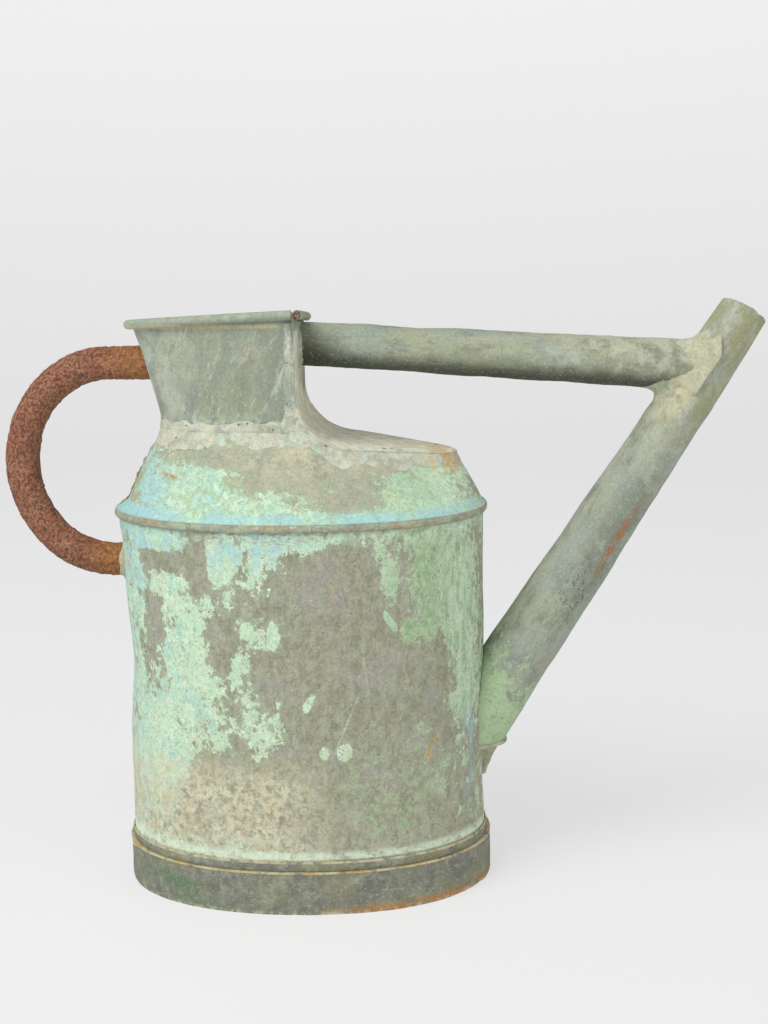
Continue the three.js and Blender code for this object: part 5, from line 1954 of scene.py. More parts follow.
@dataclass
class Neck:
    """The flared sheet, the strip that is its front and the roof, and their two wires."""

    rows: int = 46
    across: int = 48

    def build(self, look: Palette, wires: NodeTree) -> None:
        """Makes the sheets and the wires.

        Args:
            look: The can's materials.
            wires: The tree that sweeps a wire along a line.
        """
        curl = np.concatenate(
            [ring_arc(FORM.wire + 0.3, 180, -100, 20), ring_arc(FORM.wire + 1.3, -100, 180, 20)]
        )
        self.sheet(look, curl)
        self.front(look, curl)
        self.wires(look, wires)

    @staticmethod
    def rim_z() -> Array:
        """The wire's height at each of the neck's stations.

        Returns:
            Stations by 1.
        """
        z = np.full((len(FORM.neck_units) + 2, 1), FORM.mouth[0])
        plan = FORM.neck_plan(z)[:, 0]
        return FORM.mouth_height(plan[:, 0], plan[:, 1])[:, None]

    def sheet(self, look: Palette, curl: Array) -> None:
        """Makes the flared back and sides, rolled outwards at the top.

        Args:
            look: The can's materials.
            curl: The rolled edge's section, as out and up offsets.
        """
        rim = self.rim_z()
        foot = FORM.shoulder_top + 0.3
        share = np.linspace(0, 1, self.rows)[None, :-1]
        level = foot + (rim - foot) * share
        outer = FORM.neck(0 * level, level)
        inner = FORM.neck(0 * level[:, ::-2] - FORM.sheet, level[:, ::-2])
        top = np.repeat(rim, len(curl), 1)
        rolled = FORM.neck(FORM.wire + 0.3 + curl[None, :, 0] + 0 * top, top, curl[None, :, 1])
        grid = np.concatenate([outer, rolled, inner], 1)
        plan = np.concatenate(
            [[[0, -1]], np.stack([-FORM.neck_units[:, 0], FORM.neck_units[:, 1]], 1), [[0, 1]]]
        )
        plan = plan / np.linalg.norm(plan, axis=1, keepdims=True)
        way = sideways(plan)
        sway = np.sin(math.pi * np.clip((grid[..., 2] - foot) / (rim - foot), 0, 1)) ** 0.7
        edge = np.clip(np.minimum(np.arange(len(grid)), np.arange(len(grid))[::-1]) / 12, 0, 1)[:, None]
        depth = bumps(grid, (40, 21, 1.1), (13, 22, 0.25)) * sway * edge
        depth = depth + rumple(grid, 30, 23) * 0.25 * (1 - sway)
        grid = grid + way * depth[..., None]
        dress(Piece("flared_neck").grid(grid, False).make(), look.neck, Slot.GREY, "neck_sheet")

    def front(self, look: Palette, curl: Array) -> None:
        """Makes the upright front, its bend, the roof and the curl at the top.

        Args:
            look: The can's materials.
            curl: The rolled edge's section, as out and up offsets.
        """
        turn = np.linspace(0, math.pi / 2 - FORM.bend_angle, 40)[1:]
        upright = np.linspace(FORM.mouth[0] + 0.5, FORM.bend_z, 24)
        roof_x = spread(np.array([[FORM.bend_end + 1], [109.45]]), 56)[:, 0]
        x = np.concatenate(
            [np.full(24, FORM.neck_front), FORM.bend_x - FORM.bend_radius * np.cos(turn), roof_x]
        )
        z = np.concatenate([upright, FORM.bend_z - FORM.bend_radius * np.sin(turn), FORM.roof_height(roof_x)])
        lean = np.concatenate([np.ones(24), np.cos(turn), 0 * roof_x])
        tangent = np.gradient(np.stack([x, z], 1), axis=0)
        tangent /= np.linalg.norm(tangent, axis=1, keepdims=True)
        half = np.maximum(FORM.strip_half(x), 0.8)
        share = np.linspace(-1, 1, self.across)
        y = half[:, None] * share
        tilt = (np.arange(len(x)) == 0)[:, None] * (FORM.mouth_height(FORM.neck_front, y) - FORM.mouth[0])

        def face(depth: float) -> Array:
            """The strip's face, so deep into the sheet.

            Args:
                depth: How deep into the sheet, in mm.

            Returns:
                Rows by points across by 3.
            """
            fx = x[:, None] + FORM.skew * y * lean[:, None] + tangent[:, 1:] * depth
            fz = z[:, None] - tangent[:, :1] * depth + tilt
            spot = np.stack([fx, y, fz], -1)
            way = np.stack([-tangent[:, 1], 0 * x, tangent[:, 0]], 1)[:, None]
            calm = smoothstep(np.arange(len(x)), 2, 14)[:, None] * (1 - share**8)
            dent = bumps(spot, (30, 25, 0.8), (11, 26, 0.25))
            return spot + way * (dent * calm)[..., None]

        strip = Piece("roofed_front").grid(np.concatenate([face(0.0), face(FORM.sheet)[:, ::-1]], 1), False)
        side = np.linspace(-FORM.neck_half, FORM.neck_half, 40)
        wire_x = FORM.neck_front + FORM.skew * side + FORM.wire + 0.3
        up = FORM.mouth_height(FORM.neck_front, side)
        along, above = curl[None, :, 0], curl[None, :, 1]
        roll = np.stack([wire_x[:, None] + along, side[:, None] + 0 * along, up[:, None] + above], -1)
        strip.grid(roll + (rumple(roll, 16, 27) * 0.12)[..., None] * [1, 0, 1], False)
        dress(strip.make(), look.neck, Slot.GREY, "neck_front_and_roof")

    def wires(self, look: Palette, wires: NodeTree) -> None:
        """Makes the iron wires in the two rolled edges.

        Args:
            look: The can's materials.
            wires: The tree that sweeps a wire along a line.
        """
        rim = self.rim_z()
        line = FORM.neck(np.full_like(rim, FORM.wire + 0.3), rim)[:, 0]
        values = {"Radius": FORM.wire * MM, "Material": look.rust}
        back = wires.grow("back_wire", polyline("back_wire_line", line), values)
        dress(back, look.rust, Slot.IRON, "neck_rim_wire")
        side = np.linspace(-52.4, 52.4, 24)
        up = FORM.mouth_height(FORM.neck_front, side)
        line = np.stack([FORM.neck_front + FORM.skew * side + FORM.wire + 0.3, side, up], 1)
        front = wires.grow("front_wire", polyline("front_wire_line", line), values)
        dress(front, look.rust, Slot.IRON, "front_rim_wire")


@dataclass
class Tube:
    """A hollow tube whose ends are fitted to what they meet."""

    centres: Array
    radii: Array
    side: Array
    wall: float
    turns: int = 72
    rows: int = 150

    def line(self, angle: float, radius: Array) -> Array:
        """A line along the tube at an angle round it, at each station's radius.

        Args:
            angle: Radians round the tube.
            radius: The radius at each station.

        Returns:
            A point for each station.
        """
        along = np.gradient(self.centres, axis=0)
        along /= np.linalg.norm(along, axis=1, keepdims=True)
        up = np.cross(along, self.side)
        up /= np.linalg.norm(up, axis=1, keepdims=True)
        way = math.cos(angle) * self.side + math.sin(angle) * up
        return self.centres + way * radius[:, None]

    def between(self, line: Array, start: Callable, end: Callable) -> Array:
        """The part of a line where both tests are above 0, in equal steps.

        Args:
            line: The line's points.
            start: Above 0 past what the line starts from.
            end: Above 0 before what it ends at.

        Returns:
            The part's points.
        """
        at = np.arange(len(line), dtype=float)
        dense = np.linspace(0, len(line) - 1, len(line) * 12)
        fine = np.stack([np.interp(dense, at, line[:, k]) for k in range(3)], 1)
        free = (start(fine) > 0) & (end(fine) > 0)
        where = np.flatnonzero(free)
        lo, hi = dense[where[0]], dense[where[-1]]
        at2 = np.linspace(lo, hi, self.rows)
        return np.stack([np.interp(at2, at, line[:, k]) for k in range(3)], 1)

    def grid(self, start: Callable, end: Callable, relief: Callable | None = None) -> Array:
        """Sections for a closed tube with a bore.

        Args:
            start: Above 0 where the tube may be, past what its start meets.
            end: The same for its end.
            relief: Gives the outer face's relief in mm at points.

        Returns:
            Angles by section points by 3.
        """
        columns = []
        for a in np.linspace(0, 2 * math.pi, self.turns, endpoint=False):
            outer = self.between(self.line(a, self.radii), start, end)
            inner = self.between(self.line(a, self.radii - self.wall), start, end)[::-3]
            if relief is not None:
                near = self.between(self.line(a, self.radii - 1.0), start, end)
                way = outer - near
                way /= np.linalg.norm(way, axis=1, keepdims=True)
                outer = outer + way * relief(outer)[:, None]
            columns.append(np.concatenate([outer, inner]))
        return np.stack(columns)


# Heights above and below which the loop handle can touch the neck or the wall, in mm.
LOOP_HIGH = 330.0
LOOP_LOW = 280.0


def off_wall(points: Array) -> Array:
    """Above 0 outside the drum's wall."""
    a, c, n = FORM.drum
    return (np.abs(points[..., 0]) / a) ** n + (np.abs(points[..., 1]) / c) ** n - 0.997


def off_neck(points: Array) -> Array:
    """Above 0 behind the neck's back.

    Args:
        points: Points in mm.

    Returns:
        The test's value at each point.
    """
    back = (FORM.neck_centre - points[..., 0]) / FORM.neck_reach(points[..., 2])
    side = np.abs(points[..., 1]) / FORM.neck_half
    return np.maximum(back, 0) ** FORM.neck_squareness + side**FORM.neck_squareness - 0.995


def high_part(points: Array) -> Array:
    """Above 0 behind the neck, tested only at the loop's upper half."""
    return np.where(points[..., 2] > LOOP_HIGH, off_neck(points), 1.0)


def low_part(points: Array) -> Array:
    """Above 0 outside the wall, tested only at the loop's lower half."""
    return np.where(points[..., 2] < LOOP_LOW, off_wall(points), 1.0)


def off_front(points: Array) -> Array:
    """Above 0 in front of the neck's front."""
    return points[..., 0] - FORM.neck_front - FORM.skew * points[..., 1] + 0.2


def always(points: Array) -> Array:
    """Above 0 everywhere."""
    return np.ones(points.shape[:-1])


@dataclass(frozen=True)
class Bead:
    """A thin fillet of solder between a tube's end and the sheet that it meets.

    The end is 0 for the tube's start and -1 for its end, and away is 1 or -1, the way off the
    sheet along x. Reach holds the fillet's width, how much that varies and where; swell holds its
    thickness at the edges and in the middle; sink is how far it goes into the sheet.
    """

    end: int
    away: float
    turns: int
    reach: tuple[float, float, float]
    swell: tuple[float, float]
    sink: float
    seed: int
    steps: int = 9
    ripple: float = 0.5
    bumps: tuple[float, float] = (4.0, 0.2)
    into_tube: float = 0.6

    def grid(self, tube: Tube, start: Callable, stop: Callable) -> Array:
        """Sections of the fillet all round the tube.

        Args:
            tube: The tube that it surrounds.
            start: Above 0 past what the tube starts from.
            stop: Above 0 before what it ends at.

        Returns:
            Angles by section points by 3.
        """
        off = np.array([self.away, 0.0, 0.0])
        t = np.linspace(0, 1, self.steps)[:, None]
        columns = []
        for a in np.linspace(0, 2 * math.pi, self.turns, endpoint=False):
            joint = tube.between(tube.line(a, tube.radii), start, stop)[self.end]
            way = tube.line(a, tube.radii + 1)[self.end] - tube.line(a, tube.radii)[self.end]
            wave = self.reach[1] * math.sin(a * 2 + self.reach[2])
            reach = self.reach[0] + wave + self.ripple * math.sin(a * 5)
            on_sheet, on_tube = joint + way * reach, joint + off * reach
            curve = bent(on_sheet, joint, on_tube, t)
            lift = off * (1 - t) + way * t
            rough = (rumple(curve, self.bumps[0], self.seed) * self.bumps[1])[:, None]
            outer = curve + lift * (self.swell[0] + self.swell[1] * np.sin(math.pi * t) + rough)
            inward, down = way * self.into_tube, off * self.sink
            sunk = np.stack([on_tube - inward, joint - inward - down, on_sheet - down])
            columns.append(np.concatenate([outer, sunk]))
        return np.stack(columns)


@dataclass
class LoopHandle:
    """The rusty iron loop behind the can."""

    centre: tuple[float, float] = (-137.0, 305.8)
    reach: float = 65.5
    half_height: float = 71.4
    radius: float = 12.3
    wall: float = 2.0

    def build(self, look: Palette, lumps: NodeTree) -> None:
        """Makes the pitted tube and its rust scabs.

        Args:
            look: The can's materials.
            lumps: The tree that scatters lumps on a skin.
        """
        angle = np.radians(np.linspace(90, 270, 120))
        arc_x = self.centre[0] + self.reach * np.cos(angle)
        arc_z = self.centre[1] + self.half_height * np.sin(angle)
        arc = np.stack([arc_x, 0 * angle, arc_z], 1)
        head = np.linspace(45, 1, 30)[:, None] * [1, 0, 0] + arc[0]
        tail = np.linspace(1, 20, 20)[:, None] * [1, 0, 0] + arc[-1]
        line = spread(np.concatenate([head, arc, tail]), 200)
        tube = Tube(line, np.full(len(line), self.radius), ACROSS, self.wall, 76, 240)

        def relief(points: Array) -> Array:
            """Rust's scale and pits."""
            scale = bumps(points, (26, 31, 0.35), (5, 32, 0.3), (2.4, 33, 0.2))
            return scale - 0.35 - 0.6 * smoothstep(-pits(points, 5.5, 34), -0.42, -0.12)

        both = tube.grid(high_part, low_part, relief)
        loop = Piece("loop_grip").grid(both, True).make(50)
        dress(loop, look.rust, Slot.IRON, "loop_handle")
        self.foot_bead(look, tube)
        skin = place("scab_ground", loop.data.copy())
        values = {
            "Density": 9000.0, "Smallest": 0.5 * MM, "Largest": 1.5 * MM,
            "Flatness": 0.35, "Seed": 4, "Material": look.rust,
        }
        dress(lumps.grow("rust_scabs", skin, values), look.rust, Slot.IRON)

    @staticmethod
    def foot_bead(look: Palette, tube: Tube) -> None:
        """Makes the thin fillet of solder round the loop's foot on the wall.

        Args:
            look: The can's materials.
            tube: The tube that it surrounds.
        """
        bead = Bead(end=-1, away=-1.0, turns=80, reach=(2.8, 1.0, 0.9), swell=(0.3, 0.5), sink=1.2, seed=58)
        grid = bead.grid(tube, high_part, low_part)
        dress(Piece("loop_foot").grid(grid, True).make(60), look.stained, Slot.SOLDER, "loop_foot_solder")


@dataclass
class SpoutForm:
    """The spout's axis and taper."""

    tip: Array = field(default_factory=lambda: np.array([312.71, 0.0, 408.27]))
    angle: float = math.radians(57.35)
    tip_radius: float = 17.0
    taper: float = 0.0244

    @property
    def along(self) -> Array:
        """The way up the tube."""
        return np.array([math.cos(self.angle), 0.0, math.sin(self.angle)])

    def off(self, points: Array) -> Array:
        """How far points are outside the spout, in mm.

        Args:
            points: Points in mm.

        Returns:
            The distance at each point.
        """
        rel = points - self.tip
        back = -(rel @ self.along)
        away = np.linalg.norm(rel + back[..., None] * self.along, axis=-1)
        return away - (self.tip_radius + self.taper * back)


SPOUT = SpoutForm()


@dataclass
class Spout:
    """The tapered spout, its boot and the solder lip between them."""

    length: float = 405.0
    cut_z: float = 98.0
    wear: float = math.tan(math.radians(13.0))
    boot_low: float = 72.0
    boot_rise: float = 25.6
    boot_half: float = 17.0
    boot_reach: float = 13.0
    boot_x: float = 129.0

    def tip_gap(self, points: Array) -> Array:
        """Above 0 behind the worn, chipped tip.

        Args:
            points: Points in mm.

        Returns:
            The test's value at each point.
        """
        rel = points - SPOUT.tip
        ahead = rel @ SPOUT.along
        chips = 0.5 * rumple(points, 6, 41) + 0.35 * rumple(points, 2.6, 42)
        return -(ahead + self.wear * rel[..., 1]) + chips

    def build(self, look: Palette) -> None:
        """Makes the tube, the boot and the lip.

        Args:
            look: The can's materials.
        """
        back = np.linspace(self.length, -12, 260)
        centres = SPOUT.tip - back[:, None] * SPOUT.along
        radii = SPOUT.tip_radius + SPOUT.taper * back
        tube = Tube(centres, radii, ACROSS, FORM.sheet, 88, 230)

        def foot(points: Array) -> Array:
            """Above 0 outside the wall and over the lip."""
            return np.minimum(off_wall(points) * 60, points[..., 2] - self.cut_z)

        def relief(points: Array) -> Array:
            """Dents and crust."""
            return bumps(points, (34, 43, 0.5), (11, 44, 0.2), (3, 45, 0.07))

        grid = tube.grid(foot, self.tip_gap, relief)
        dress(Piece("tapered_spout").grid(grid, True).make(), look.spout, Slot.GREY, "spout")
        self.boot(look)
        self.lip(look)

    def boot(self, look: Palette) -> None:
        """Makes the half-round sheet under the foot.

        Args:
            look: The can's materials.
        """
        z = np.linspace(self.boot_low, self.boot_low + self.boot_rise, 40)
        share = (z - self.boot_low) / self.boot_rise
        width = self.boot_half * (0.25 + 0.75 * share)
        reach = self.boot_reach * (0.15 + 0.85 * share**1.2)
        angle = np.radians(np.linspace(-100, 100, 50))
        x = self.boot_x + reach[:, None] * np.cos(angle)
        y = width[:, None] * np.sin(angle)
        outer = np.stack([x, y, z[:, None] + 0 * x], -1)
        outer[..., 0] += rumple(outer, 9, 46) * 0.35
        inner = outer + [-1.2, 0, 0]
        grid = np.concatenate([outer, inner[:, ::-1]], 1)
        dress(Piece("foot_boot").grid(grid, False).make(), look.boot, Slot.GREY, "spout_boot")

    def lip(self, look: Palette) -> None:
        """Makes the bead of solder round the foot's lower edge.

        Args:
            look: The can's materials.
        """
        angle = np.radians(np.linspace(-105, 105, 90))
        on_plane = SPOUT.tip - ((SPOUT.tip[2] - self.cut_z) / SPOUT.along[2]) * SPOUT.along
        radius = SPOUT.tip_radius + SPOUT.taper * (SPOUT.tip[2] - self.cut_z) / SPOUT.along[2]
        cx = on_plane[0] + (radius / math.sin(SPOUT.angle)) * np.cos(angle)
        cy = radius * np.sin(angle)
        line = np.stack([cx, cy, self.cut_z + 0.4 + 0 * cx], 1)
        line = line[off_wall(line) > -0.03]
        across = np.stack([line[:, 0] - on_plane[0], line[:, 1]], 1)
        across /= np.linalg.norm(across, axis=1, keepdims=True)
        turn = np.linspace(0, 2 * math.pi, 18, endpoint=False)
        size = 1.7 + 0.4 * rumple(line, 8, 47)
        grid = np.stack([
            line[:, None, 0] + across[:, None, 0] * np.cos(turn) * size[:, None] * 1.25,
            line[:, None, 1] + across[:, None, 1] * np.cos(turn) * size[:, None] * 1.25,
            line[:, None, 2] + np.sin(turn) * size[:, None],
        ], -1)
        dress(Piece("foot_lip").grid(grid, False).make(60), look.saddle, Slot.SOLDER, "spout_foot_solder")


@dataclass
class CarryHandle:
    """The tube from the neck to the spout, and the solder at both its ends."""

    neck: tuple[float, float, float] = (0.9, 0.0, 389.6)
    spout: tuple[float, float, float] = (262.0, 0.0, 371.87)
    radii: tuple[float, float] = (15.2, 17.6)
    saddle_up: float = 8.5
    saddle_back: float = 12.0

    def tube(self) -> Tube:
        """The tube before its ends are fitted.

        Returns:
            The tube.
        """
        share = np.linspace(-0.05, 1.12, 160)
        start, end = np.array(self.neck), np.array(self.spout)
        centres = start + (end - start) * share[:, None]
        radii = self.radii[0] + (self.radii[1] - self.radii[0]) * share
        return Tube(centres, radii, ACROSS, FORM.sheet, 84, 170)

    def build(self, look: Palette) -> None:
        """Makes the tube, the saddle and the fillet at the neck.

        Args:
            look: The can's materials.
        """
        tube = self.tube()

        def before_spout(points: Array) -> Array:
            """Above 0 before the spout's near side."""
            past = (points - SPOUT.tip) @ np.array([-SPOUT.along[2], 0, SPOUT.along[0]])
            return np.where(past > 0, SPOUT.off(points) + 0.2, -1.0)

        def relief(points: Array) -> Array:
            """Dents and crust."""
            return bumps(points, (30, 51, 0.55), (9, 52, 0.22), (3, 53, 0.08))

        grid = tube.grid(off_front, before_spout, relief)
        dress(Piece("carrying_tube").grid(grid, True).make(), look.carry, Slot.GREY, "carry_handle")
        self.saddle(look, tube, before_spout)
        self.collar(look, tube)

    def saddle(self, look: Palette, tube: Tube, before: Callable) -> None:
        """Makes the solder fillet between the tube and the spout.

        Args:
            look: The can's materials.
            tube: The tube that it surrounds.
            before: Above 0 before the spout's near side.
        """
        steps = np.linspace(0, 1, 16)
        columns = []
        for a in np.linspace(0, 2 * math.pi, 120, endpoint=False):
            wave = 1 + 0.22 * math.sin(a * 3 + 1) + 0.12 * math.sin(a * 7)
            foot = tube.between(tube.line(a, tube.radii), off_front, before)
            spread_line = tube.between(tube.line(a, tube.radii + self.saddle_up * wave), off_front, before)
            joint, on_spout = foot[-1], spread_line[-1]
            back = tube.centres[-1] - tube.centres[0]
            back = back / np.linalg.norm(back)
            on_tube = joint - back * self.saddle_back * wave
            t = steps[:, None]
            curve = bent(on_tube, joint, on_spout, t)
            way = tube.line(a, tube.radii + 1)[0] - tube.line(a, tube.radii)[0]
            off_spout = (joint - SPOUT.tip) - ((joint - SPOUT.tip) @ SPOUT.along) * SPOUT.along
            off_spout = off_spout / np.linalg.norm(off_spout)
            lift = way * (1 - t) + off_spout * t
            high = (0.06 + 0.75 * np.sin(math.pi * steps) ** 0.9)[:, None]
            rough = bumps(curve, (9, 54, 0.5), (3.5, 55, 0.3))[:, None]
            rough = rough * np.sin(math.pi * t) ** 0.5
            outer = curve + lift * (high + rough)
            sunk = np.stack(
                [on_spout - off_spout * 1.2, joint - off_spout * 0.8 - way * 0.8, on_tube - way * 1.0]
            )
            columns.append(np.concatenate([outer, sunk]))
        dress(
            Piece("saddle").grid(np.stack(columns), True).make(60), look.saddle, Slot.SOLDER, "saddle_solder"
        )

    def collar(self, look: Palette, tube: Tube) -> None:
        """Makes the thin fillet of solder round the tube at the neck.

        Args:
            look: The can's materials.
            tube: The tube that it surrounds.
        """
        bead = Bead(end=0, away=1.0, turns=90, reach=(2.6, 0.9, 0.5), swell=(0.15, 0.6), sink=0.6, seed=56)
        grid = bead.grid(tube, off_front, always)
        dress(Piece("neck_collar").grid(grid, True).make(60), look.collar, Slot.SOLDER, "carry_neck_solder")


@dataclass
class SolderWork:
    """Solder round the neck's foot, under the roof's edge and down the front corners."""

    up: float = 7.5
    down: float = 12.0
    thick: float = 1.0
    corner_wide: float = 7.6
    corner_foot: float = 5.0
    corner_stand: float = 0.8

    def build(self, look: Palette) -> None:
        """Makes the run and the two corners.

        Args:
            look: The can's materials.
        """
        dress(Piece("neck_run").grid(self.run(), True).make(60), look.solder, Slot.SOLDER, "neck_solder")
        for side, name in ((-1, "near_corner"), (1, "far_corner")):
            self.corner(look, side, name, name + "_solder")

    def run(self) -> Array:
        """Sections of the solder run all round.

        Returns:
            Stations by section points by 3.
        """
        x = FORM.top[:, 0]
        on_neck = 1 - smoothstep(x, -6, FORM.neck_front - 0.5)
        foot = FORM.wall(FORM.gap, FORM.seam[2])[:, 0]
        head = np.concatenate([FORM.top, FORM.shoulder_head(x)[:, None]], 1)
        slant = np.linalg.norm(foot - head, axis=1)
        ring = np.stack([FORM.top[:, 0], FORM.top[:, 1], 0 * x], 1)
        low_wave = 1 + 0.3 * rumple(ring, 18, 61) + 0.16 * rumple(ring, 6, 62)
        high_wave = 1 + 0.35 * rumple(ring, 22, 63) + 0.2 * rumple(ring, 7, 64)
        lower = self.down * low_wave
        steps = np.linspace(0, 1, 12)
        share = 1 - (lower[:, None] * (1 - steps)[None] + 0.4 * steps[None]) / slant[:, None]
        swell = np.sin(math.pi * np.clip(steps * 0.52, 0, 1)) ** 1.3
        slope = FORM.shoulder(share, np.zeros_like(share))
        lumps = 1 + 0.4 * rumple(slope, 9, 65) + 0.2 * rumple(slope, 4, 66)
        way = sideways(FORM.normals, 0.75, 0.66)
        slope_out = slope + way * (self.thick * swell * lumps + 0.9 * steps**3)[..., None]
        z = FORM.shoulder_top + self.up * high_wave
        rise = np.linspace(0.12, 1, 8)
        level = FORM.shoulder_top + (z - FORM.shoulder_top)[:, None] * rise
        grown = FORM.neck_reach(level) / FORM.neck_back
        back = FORM.neck_centre - x
        normal = sideways(FORM.top_normals)
        sheet_x = FORM.neck_centre - back[:, None] * grown
        sheet = np.stack([sheet_x, FORM.top[:, 1:] + 0 * level, level], -1)
        bulk = 1 + 0.5 * rumple(sheet, 9, 67) + 0.3 * rumple(sheet, 4, 68)
        fade = np.cos(rise * math.pi / 2) ** 0.9 + 0.35
        sheet_out = sheet + normal * (self.thick * fade * bulk)[..., None]
        turned = FORM.skew * FORM.top[:, 1] * FORM.strip_lean(FORM.roof_height(x))
        brim = np.maximum(FORM.roof_height(x - turned) + 0.3 - slope_out[:, -1, 2], 0.3)
        brim = np.where(x > FORM.neck_front + 1, np.minimum(brim, 9.0), 0.6)
        cap = np.stack([0 * x, 0 * x, brim], 1)[:, None] * rise[:, None]
        cap = cap + normal * (0.4 * np.sin(math.pi * rise) - 0.3 * rise)[:, None]
        flat = np.repeat(slope_out[:, -1:], len(rise), 1) + cap
        keep = ((on_neck > 0) & (back > 0)) * on_neck
        top = flat * (1 - keep)[:, None, None] + sheet_out * keep[:, None, None]
        under = np.stack([flat[:, -1] - normal[:, 0] * 2.6 - [0, 0, 1.0], slope[:, -1] - way[:, 0] * 0.5], 1)
        sunk_top = under * (1 - keep)[:, None, None]
        sunk_top = sunk_top + (sheet[:, [-1, 0]] - normal * 0.4) * keep[:, None, None]
        sunk_low = slope[:, [6, 0]] - way * 0.5
        return np.concatenate([slope_out, top, sunk_top, sunk_low], 1)

    def corner(self, look: Palette, side: int, name: str, node: str) -> None:
        """Makes the solder down one front corner.

        Args:
            look: The can's materials.
            side: -1 for the near corner, 1 for the far one.
            name: The piece's name.
            node: The CAD node that it replaces.
        """
        y = side * FORM.neck_half
        low = FORM.shoulder_top - 4
        high = float(FORM.mouth_height(0, y)) - 5.5
        z = np.linspace(low, high, 90)
        front = FORM.strip_front(z) + FORM.skew * y - 0.2
        wave = np.stack([0 * z, 0 * z, z], 1)
        wide = self.corner_wide + self.corner_foot * smoothstep(-z, -low - 20, -low - 8)
        upright = np.minimum(front, FORM.neck_front + FORM.skew * y - 0.2)
        back = upright - wide * (1 + 0.16 * rumple(wave, 14, 71 + side) + 0.12 * rumple(wave, 5, 72))
        share = np.linspace(0, 1, 14)
        x = back[:, None] + (front - back)[:, None] * share
        dome = np.clip(np.sin(math.pi * (0.06 + share * 0.86)), 0, 1) ** 0.6
        face = np.stack([x, y + 0 * x, z[:, None] + 0 * x], -1)
        bulk = 1 + 0.3 * rumple(face, 6, 73) + 0.25 * rumple(face, 3, 74)
        face[..., 1] += side * self.corner_stand * dome * bulk
        sunk = np.stack([x[:, ::-6], y - side * 0.4 + 0 * x[:, ::-6], z[:, None] + 0 * x[:, ::-6]], -1)
        grid = np.concatenate([face, sunk], 1)
        dress(Piece(name).grid(grid, False).make(60), look.solder, Slot.SOLDER, node)


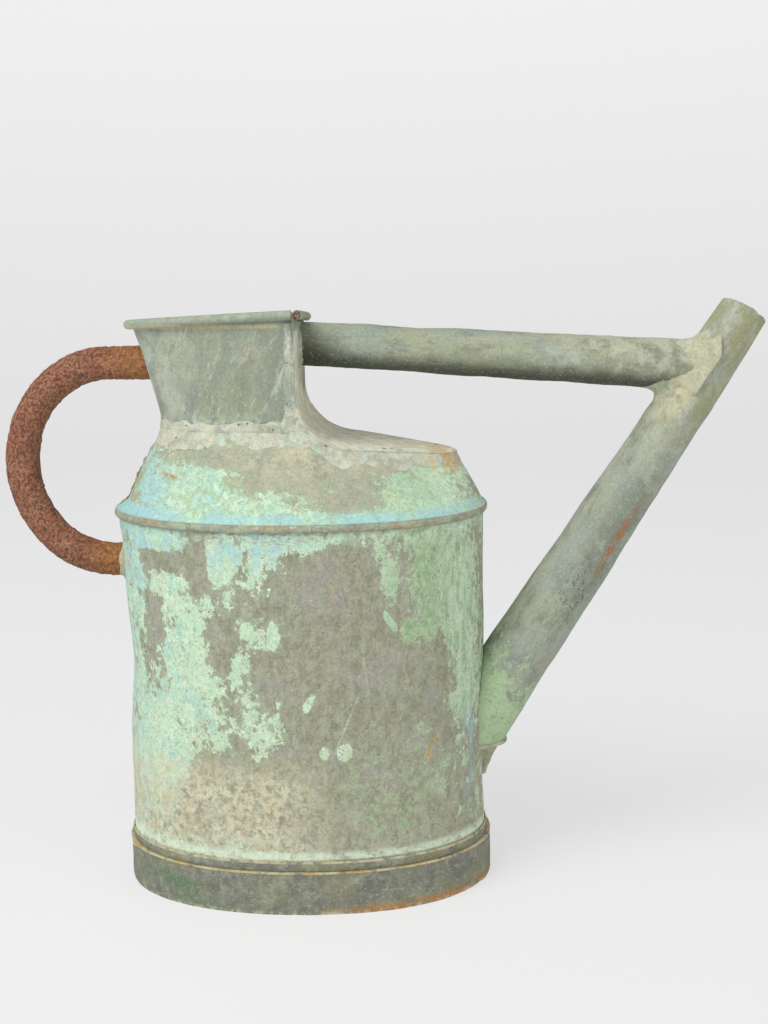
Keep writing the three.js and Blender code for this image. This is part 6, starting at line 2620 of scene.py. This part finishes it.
@dataclass
class Studio:
    """The camera, the pale sweep and the soft lights."""

    eye: tuple[float, float, float] = (121.155, -1191.628, 480.0)
    azimuth: float = math.radians(3.0)
    pitch: float = math.radians(10.10)
    roll: float = math.radians(0.93)
    lens: float = 59.13
    sensor: float = 36.0

    def camera(self) -> None:
        """Sets the camera at the photo's place."""
        right = Vector((math.cos(self.azimuth), math.sin(self.azimuth), 0))
        ahead = Vector(
            (
                -math.sin(self.azimuth) * math.cos(self.pitch), math.cos(self.azimuth) * math.cos(self.pitch),
                -math.sin(self.pitch),
            )
        )
        up = right.cross(ahead)
        turned = right * math.cos(self.roll) - up * math.sin(self.roll)
        upright = right * math.sin(self.roll) + up * math.cos(self.roll)
        data = bpy.data.cameras.new("camera")
        data.lens, data.sensor_width = self.lens, self.sensor
        made = place("camera", data)
        stand = Matrix((turned, upright, -ahead)).transposed().to_4x4()
        stand.translation = (Vector(self.eye) + Vector((DRUM_X, 0, 0))) * MM
        made.matrix_world = stand
        bpy.context.scene.camera = made

    def floor(self) -> None:
        """Makes the floor, which sweeps up behind."""
        turn = np.radians(np.linspace(0, 90, 24))
        y = np.concatenate([[-6000], 2200 + 1200 * np.sin(turn), [3400]])
        z = np.concatenate([[0], 1200 - 1200 * np.cos(turn), [7000]])
        mesh = bpy.data.meshes.new("sweep")
        points = [(x * MM, b * MM, c * MM) for x in (-7000, 7000) for b, c in zip(y, z)]
        n = len(y)
        mesh.from_pydata(points, [], [(i, i + n, i + n + 1, i + 1) for i in range(n - 1)])
        mesh.shade_smooth()
        sweep = place("sweep", mesh)
        material = bpy.data.materials.new("pale_sweep")
        material.use_nodes = True
        nodes, links = material.node_tree.nodes, material.node_tree.links
        nodes.clear()
        out, path = nodes.new("ShaderNodeOutputMaterial"), nodes.new("ShaderNodeLightPath")
        plain, glow = nodes.new("ShaderNodeBsdfDiffuse"), nodes.new("ShaderNodeEmission")
        plain.inputs[0].default_value = (0.83, 0.83, 0.83, 1)
        here, split = nodes.new("ShaderNodeTexCoord"), nodes.new("ShaderNodeSeparateXYZ")
        rise, tone = nodes.new("ShaderNodeMapRange"), nodes.new("ShaderNodeMix")
        tone.data_type = "RGBA"
        tone.inputs[6].default_value, tone.inputs[7].default_value = Tint.FLOOR.rgba, Tint.BACKDROP.rgba
        links.new(here.outputs["Object"], split.inputs[0])
        links.new(split.outputs[2], rise.inputs["Value"])
        links.new(rise.outputs["Result"], tone.inputs[0])
        links.new(tone.outputs[2], glow.inputs[0])
        seen, share = nodes.new("ShaderNodeMixShader"), nodes.new("ShaderNodeMath")
        share.operation, share.inputs[1].default_value = "MULTIPLY", 0.68
        links.new(path.outputs["Is Camera Ray"], share.inputs[0])
        links.new(share.outputs[0], seen.inputs[0])
        links.new(plain.outputs[0], seen.inputs[1])
        links.new(glow.outputs[0], seen.inputs[2])
        links.new(seen.outputs[0], out.inputs[0])
        mesh.materials.append(material)

    def lights(self) -> None:
        """Sets the soft key, the fill and the world."""
        world = bpy.data.worlds.new("studio")
        world.use_nodes = True
        ground = world.node_tree.nodes["Background"]
        ground.inputs[0].default_value = (1, 1, 1, 1)
        ground.inputs[1].default_value = 0.48
        bpy.context.scene.world = world
        for name, stand, aim, size, power in (
            ("key", (-1.2, -1.4, 2.3), (0, 0, 0.2), 1.6, 56.0),
            ("fill", (1.9, -1.3, 1.0), (0, 0, 0.2), 1.6, 12.0),
        ):
            data = bpy.data.lights.new(name, "AREA")
            data.size, data.energy = size, power
            lamp = place(name, data)
            lamp.location = stand
            lamp.rotation_mode = "QUATERNION"
            lamp.rotation_quaternion = (Vector(aim) - Vector(stand)).to_track_quat("-Z", "Y")
        bpy.context.scene.view_settings.view_transform = "Standard"

    def build(self) -> None:
        """Sets up everything round the can."""
        self.camera()
        self.floor()
        self.lights()


def main() -> None:
    """Builds the studio and the can's pieces in order."""
    logging.basicConfig(level=logging.INFO, format="%(message)s")
    Studio().build()
    look = Palette()
    wires, lumps = wire_tree(), lump_tree()
    Drum().build(look)
    Foot().build(look)
    Shoulder().build(look)
    Neck().build(look, wires)
    SolderWork().build(look)
    LoopHandle().build(look, lumps)
    Spout().build(look)
    CarryHandle().build(look)


if __name__ == "__main__":
    main()
